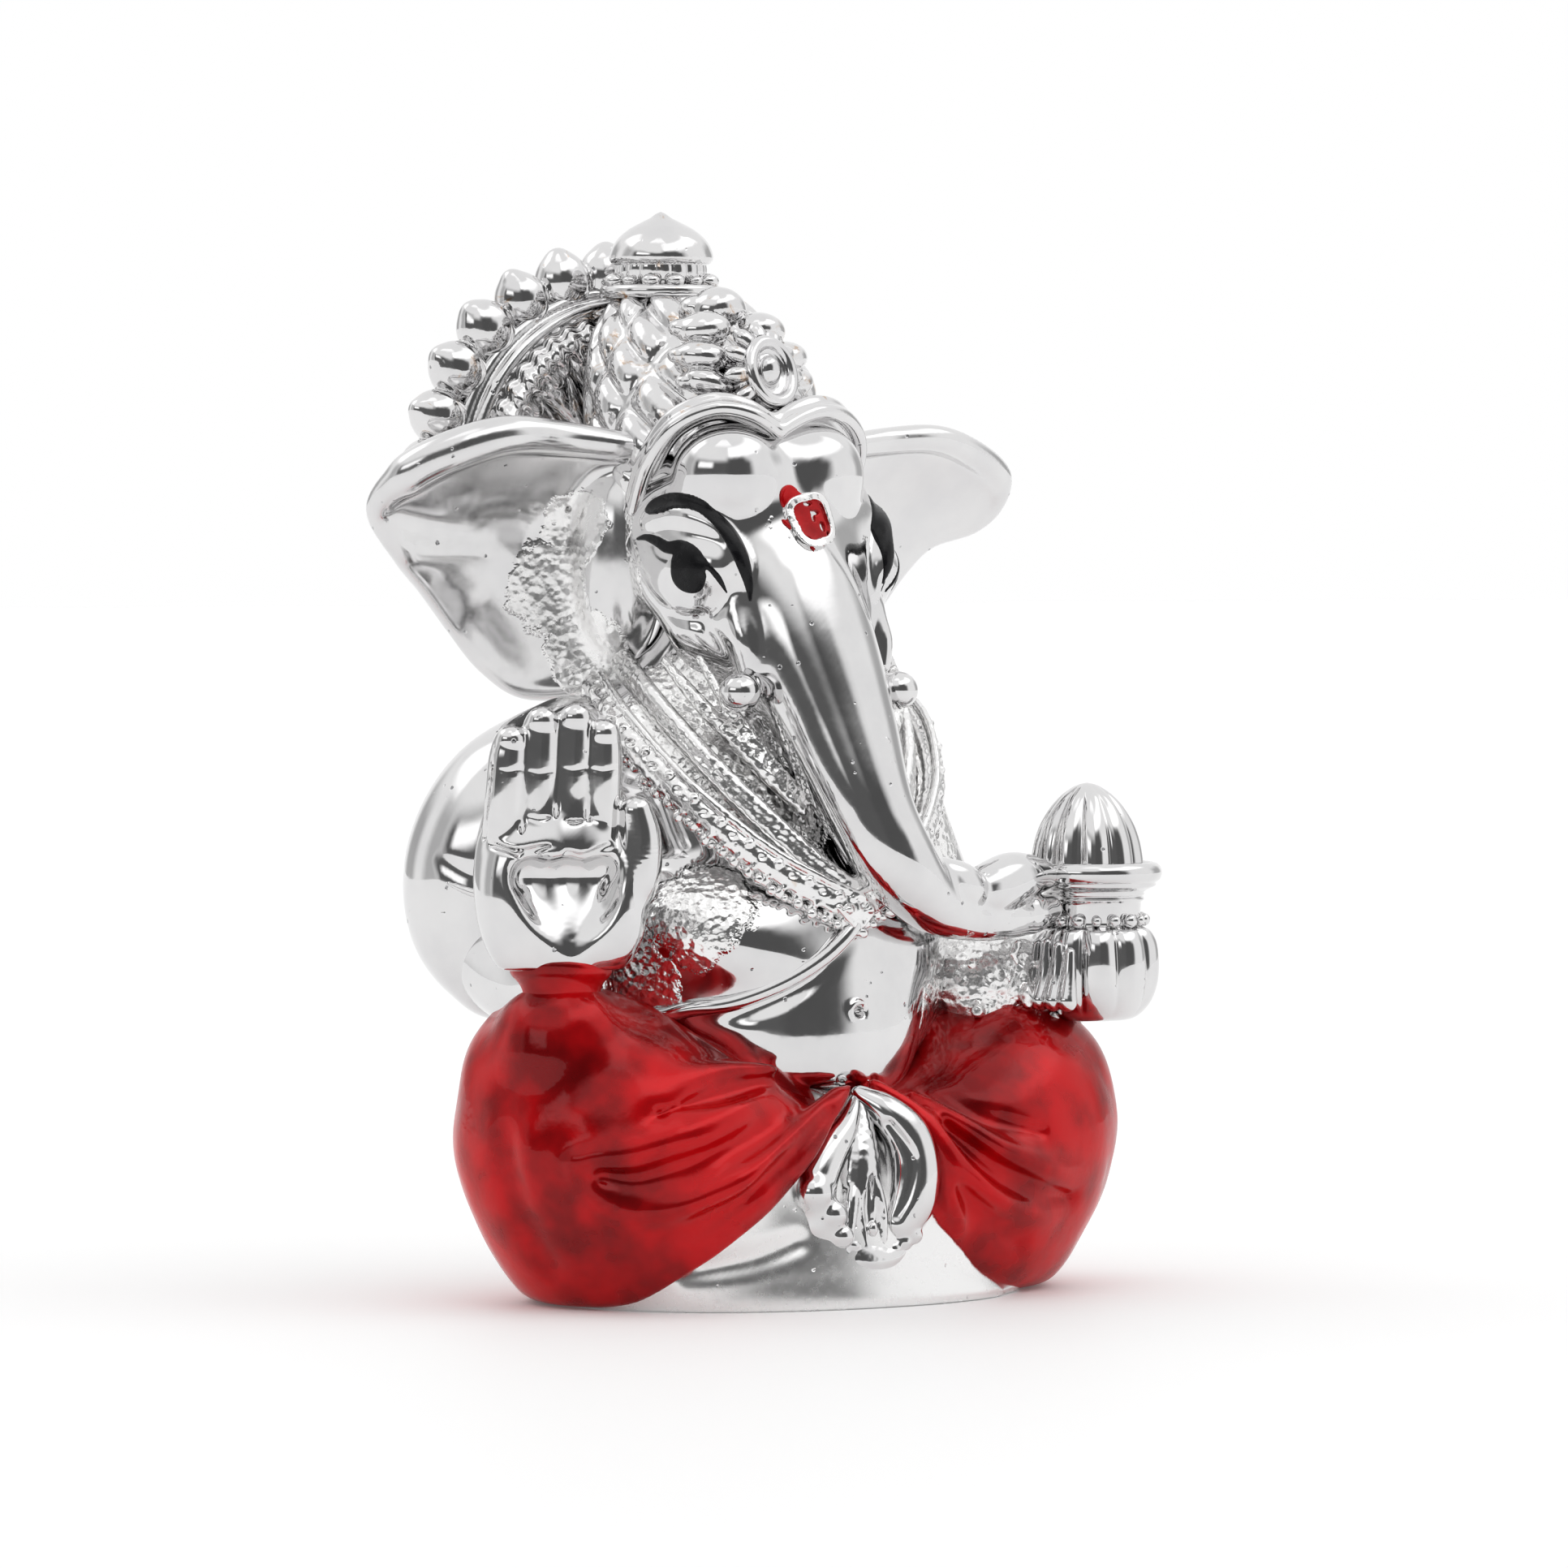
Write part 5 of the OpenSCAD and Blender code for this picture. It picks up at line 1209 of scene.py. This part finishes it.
def turban():
    c = Clay((-10.5, -5.5, 49), (10.5, 17.5, 66), 0.12)
    c.chain([[0, 4.4, 53.6, 7.8], [0, 6.1, 56.4, 7.4], [0, 8.2, 59.3, 6.2], [0, 10, 61.2, 4.6]], 0.6,
        12)
    c.soften(4)
    # puffed lozenges in front, long ribs at the sides and back
    x, y, z = c.field()
    t = np.clip((z - 50) / 15, 0, 1)
    cy = 3.6 + 7.0 * t
    ang = np.arctan2(x, -(y - cy))
    lean = z - 0.35 * np.abs(x)
    w1 = np.abs(np.sin(5 * ang + (lean - 50) * 0.6))
    w2 = np.abs(np.sin(5 * ang - (lean - 50) * 0.6))
    puff = np.sqrt(np.clip(w1 * w2, 0, 1))
    rib = np.sqrt(np.abs(np.sin(13 * ang)))
    front = np.clip((2.1 - np.abs(ang)) / 0.35, 0, 1)
    relief = front * (1.3 * puff - 0.75) + (1 - front) * (0.8 * rib - 0.5)
    near = np.clip(1 - np.abs(c.d) / 1.4, 0, 1)
    c.d = (c.d - relief * near).astype(np.float32)
    # thin crossing cords in the grooves
    c.d = (c.d - 0.3 * near * front * np.clip(1 - np.minimum(w1, w2) * 7, 0, 1)).astype(np.float32)
    c.half((0, 0, 64.7), (0, 0, 1), 0.2)
    c.soften(1)
    skin(c, "turban_weave", ["turban"], S_CROWN, True)


TOP = (0, 10.4, 64.6)  # the middle of the disc's underside


def crown_top():
    lathe("crown_disc", [(0.05, 0), (3.5, 0), (3.9, 0.08), (4.05, 0.3), (4.05, 0.6), (3.9, 0.85),
        (3.4, 0.95), (0.05, 0.97)], 96, None, TOP, ["crown_plate"], S_HALO, True)
    c = Clay((-5, 5.5, 64.8), (5, 15.3, 67), 0.09)
    for i in range(13):
        t = 2 * math.pi * i / 13
        r = 0.62 + 0.14 * math.sin(i * 2.4)
        c.egg((3.25 * math.cos(t), 10.4 + 3.25 * math.sin(t), 65.75), (r, r, r * 0.7), 0.25)
    skin(c, "crown_bead_row", ["crown_beads"], S_HALO, True)
    prof = smooth_rings([(2.75, 0.9), (2.9, 1.3), (2.95, 1.9), (2.9, 2.25)], 4)
    prof += smooth_rings([(3.25, 2.35), (3.42, 2.6), (3.4, 3.0), (3.15, 3.6), (2.7, 4.15), (2.05, 4.65),
        (1.3, 5.05), (0.7, 5.35), (0.35, 5.6), (0.03, 5.75)], 5)
    prof = [(0.05, 0.85), (2.6, 0.85)] + prof

    def flutes(t, z):
        # small fluted petals under the cap
        k = 1.0 if 1.0 < z < 2.3 else 0.0
        return 1 + 0.07 * k * (abs(math.sin(8 * t)) ** 0.6 - 0.5) + 0.012 * math.sin(3 * t + z)

    lathe("crown_bud", prof, 160, flutes, TOP, ["crown_finial"], S_HALO, True)


def medallion():
    cen = np.array([-0.9, -2.1, 59.5])
    tilt = math.radians(-18)
    up = np.array([0, math.sin(-tilt), math.cos(tilt)])
    out = np.array([0.1, -math.cos(tilt), math.sin(-tilt)])
    side = np.array([1.0, 0.1, 0])
    lo, hi = (-7, -6.5, 54), (6, 8, 67)
    c = Clay(lo, hi, 0.085)
    c.chain([[*(cen + side * 1.75 * math.cos(a) + up * 2.05 * math.sin(a) + out * 0.4),
        0.46] for a in np.linspace(0, 2 * math.pi, 33)], 0.1, 1)
    for k in range(5):
        c.chain([[*(cen + side * 1.35 * math.cos(a) + up * 1.6 * math.sin(a) - out * (0.5 + 0.55 * k)),
            0.9] for a in np.linspace(0, 2 * math.pi, 25)], 0.1, 1)
    c.soften(1)
    skin(c, "medal_ring", ["medallion_ring"], S_PLAIN, True)
    c = Clay(lo, hi, 0.085)
    c.egg(cen, (0.95, 0.8, 1.2), 0, (18, 0, 0))
    c.egg(cen - out * 0.5, (1.3, 0.5, 1.6), 0.05, (18, 0, 0))
    skin(c, "medal_cabochon", ["medallion_gem"], S_HALO, True)
    c = Clay((-8.5, -6, 53.5), (8.5, 9, 68), 0.1)
    # puffed leaves stacked on each side
    stack = [((0.2, 3.6, 63.8), (1.8, 1.8, 1.4), 18), ((2.3, 2.1, 62.4), (1.85, 1.7, 1.2), 6),
        ((3.3, 0.9, 60.6), (1.8, 1.6, 1.1), -6), ((3.4, 0.1, 58.9), (1.7, 1.4, 1.0), -18)]
    for s in (1, -1):
        for p, r, roll in stack:
            c.egg((s * p[0] - 0.9, p[1] - 0.4, p[2]), r, 0.06, (0, s * roll, s * 24))
            c.egg((s * (p[0] + 1.1) - 0.9, p[1] + 0.3, p[2] + 0.1),
                (r[0] * 0.55, r[1] * 0.6, r[2] * 0.55), 0.1)
    for i in range(9):
        a = math.radians(-30 + 240 / 8 * i)
        p0 = cen + side * 2.2 * math.cos(a) + up * 2.5 * math.sin(a) - out * 0.1
        p1 = cen + side * 3.1 * math.cos(a) + up * 3.4 * math.sin(a) - out * 0.4
        c.chain([[*p0, 0.55], [*((p0 + p1) / 2), 0.55], [*p1, 0.28]], 0.05, 4)
    skin(c, "medal_leaves", ["medallion_petals"], S_CROWN, True)


HC = (0, 16.5, 52.6)  # the fan's centre
FAN_W, FAN_H = 16.0, 15.2  # its half width and its height above the centre
BUD_STEP = 14.4  # degrees from one bud to the next


def halo():
    lo, hi = (-18, 12.6, 48.5), (18, 19.8, 69.5)
    c = Clay(lo, hi, 0.15)
    x, y, z = c.field()
    r = np.sqrt((x / FAN_W) ** 2 + ((z - HC[2]) / FAN_H) ** 2)
    ang = np.arctan2((z - HC[2]) / FAN_H, x / FAN_W)
    bud = np.degrees(ang - math.pi / 2) / BUD_STEP
    edge = 0.86 + 0.03 * np.abs(np.cos(bud * math.pi))
    body = np.maximum((r - edge) * 14, np.abs(y - HC[1] - 0.3) - 0.75)
    # stepped fans that come forward towards the crown
    for rad, hgt in ((0.80, 1.3), (0.74, 2.0)):
        body = smin(body, np.maximum((r - rad) * 14, np.abs(y - HC[1] + 0.2) - hgt), 0.3)
    for rad in (0.815, 0.765):
        q = np.sqrt(((r - rad) * 14.5) ** 2 + (y - HC[1] + (1.1 if rad > 0.8 else 1.9)) ** 2) - 0.42
        body = smin(body, q.astype(np.float32), 0.15)
    # a twisted cord, then broad pleats towards the turban
    cord = np.sqrt(((r - 0.66) * 14.5) ** 2 + (y - HC[1] + 2.5) ** 2) - 0.75
    cord = cord - 0.16 * np.sin(ang * 46 + y * 2.5)
    body = smin(body, cord.astype(np.float32), 0.15)
    body = body - np.where(r < 0.62, np.sqrt(np.abs(np.sin(ang * 9))) * 0.7,
        0) * np.clip((0.62 - r) * 20, 0, 1)
    c.d = np.clip(body, -FAR, FAR).astype(np.float32)
    c.soften(1)
    c.half((0, 0, 49.4), (0, 0, -1), 0.2)
    c.chain([[0, 12.8, 55.5, 2.0], [0, 16, 55.5, 2.4]], 0.5, 1)
    skin(c, "halo_fan", ["halo_plate"], S_HALO, True)
    c = Clay((-18.5, 13.0, 48.5), (18.5, 19.8, 70.5), 0.13)
    for i in range(13):
        a = math.radians(90 + (i - 6) * BUD_STEP)
        ca, sa = math.cos(a), math.sin(a)
        p = np.array([HC[0] + 14.35 * ca, HC[1] - 0.1, HC[2] + 13.45 * sa])
        big = 1 + 0.05 * math.sin(i * 2.2)
        c.egg(p, (1.95 * big, 1.7, 2.2 * big), 0, (0, 90 - math.degrees(a), 0))
        tip = np.array([ca, 0, sa])
        c.chain([[*(p + tip * 0.5), 1.2], [*(p + tip * 1.9), 0.4]], 0.9, 4)
        c.chain([[*(p - tip * 1.9 + np.array([-sa, 0, ca]) * 0.9), 0.5], [*(p - tip * 1.6), 0.7],
            [*(p - tip * 1.9 - np.array([-sa, 0, ca]) * 0.9), 0.5]], 0.25, 4)
    skin(c, "halo_buds", ["halo_petals"], S_HALO, True)


# ---------------------------------------------------------------- build

base_plate()
felt_pad()
leg(-1, "dhoti_right", R_FOLDS, R_GROOVES)
leg(1, "dhoti_left", L_FOLDS, L_GROOVES)
feet()
torso()
garlands()
arms()
right_hand()
left_hand()
bowl()
face = head()
face_paint(face)
tusks()
ears()
tiara()
turban()
crown_top()
medallion()
halo()

# ---------------------------------------------------------------- floor, light, camera

scene = bpy.context.scene


def floor(half=4):
    """A white staged floor, half metres to each side, that glows a little so it stays white."""
    m, _, b = mat_new("floor_white")
    b.inputs["Base Color"].default_value = (0.95, 0.95, 0.95, 1)
    b.inputs["Roughness"].default_value = 0.6
    b.inputs["Emission Color"].default_value = (1, 1, 1, 1)
    b.inputs["Emission Strength"].default_value = 0.07
    me = bpy.data.meshes.new("floor")
    me.from_pydata([(-half, -half, 0), (half, -half, 0), (half, half, 0), (-half, half, 0)], [],
        [(0, 1, 2, 3)])
    me.materials.append(m)
    ob = bpy.data.objects.new("floor", me)
    scene.collection.objects.link(ob)


floor()

AZ = math.radians(-32)
CAMERA_AWAY, CAMERA_UP = 0.570, 0.050  # metres from the figure's axis, and above the floor
view = Vector((math.sin(AZ), -math.cos(AZ), 0))  # from the idol towards the camera
right = Vector((math.cos(AZ), math.sin(AZ), 0))

world = bpy.data.worlds.new("studio")
scene.world = world
world.use_nodes = True
nt = world.node_tree
nt.nodes.clear()
wo = nt.nodes.new("ShaderNodeOutputWorld")
bg = nt.nodes.new("ShaderNodeBackground")
bg.inputs[0].default_value = (1, 1, 1, 1)
nt.links.new(bg.outputs[0], wo.inputs[0])
ray = nt.nodes.new("ShaderNodeTexCoord").outputs["Generated"]


def towards(v):
    n = nt.nodes.new("ShaderNodeVectorMath")
    n.operation = "DOT_PRODUCT"
    nt.links.new(ray, n.inputs[0])
    n.inputs[1].default_value = v
    return n.outputs["Value"]


# compass angle from the camera's side (positive to the right) and height angle, in degrees
around = calc(nt, "MULTIPLY", calc(nt, "ARCTAN2", towards(right), towards(view)), 180 / math.pi)
above = calc(nt, "MULTIPLY", calc(nt, "ARCSINE", towards((0, 0, 1))), 180 / math.pi)
# a white tent: (from, to, low, high, edge softness, brightness) in degrees
SURROUND = 1.0
ZONES = [
    (-70, 60, -4, 30, 8, 0.12),
    (8, 50, -18, 38, 8, 0.1),
    (-98, -72, -8, 34, 8, 0.55),
    (120, 150, -6, 22, 8, 0.5),
    (-150, -120, -6, 22, 8, 0.5),
    (-58, -24, 15, 27, 4, 1.5),
    (12, 120, 40, 62, 5, 1.7),
    (-132, -84, 38, 62, 5, 1.6),
    (-40, 30, 66, 84, 5, 1.4),
]
level = SURROUND
for a0, a1, e0, e1, soft, lum in ZONES:
    m = calc(nt, "MULTIPLY", ramp(nt, around, a0 - soft, a0 + soft),
        ramp(nt, around, a1 - soft, a1 + soft, 1.0, 0.0))
    m = calc(nt, "MULTIPLY", m, ramp(nt, above, e0 - soft, e0 + soft))
    m = calc(nt, "MULTIPLY", m, ramp(nt, above, e1 - soft, e1 + soft, 1.0, 0.0))
    level = calc(nt, "ADD", calc(nt, "MULTIPLY", m, lum),
        calc(nt, "MULTIPLY", calc(nt, "SUBTRACT", 1.0, m), level))
# the camera itself sees a plain white tent on every side
seen = nt.nodes.new("ShaderNodeLightPath").outputs["Is Camera Ray"]
nt.links.new(calc(nt, "MAXIMUM", level, seen), bg.inputs[1])

cam = bpy.data.cameras.new("camera")
cam.lens = 201.26
cam.sensor_width = 36
cam.clip_start = 0.01
co = bpy.data.objects.new("camera", cam)
scene.collection.objects.link(co)
co.location = view * CAMERA_AWAY + Vector((0, 0, CAMERA_UP))
aim = Vector((0.00143, -0.0009, 0.0329))
co.rotation_euler = (aim - co.location).to_track_quat("-Z", "Y").to_euler()
scene.camera = co

scene.view_settings.view_transform = "Standard"
scene.view_settings.look = "None"
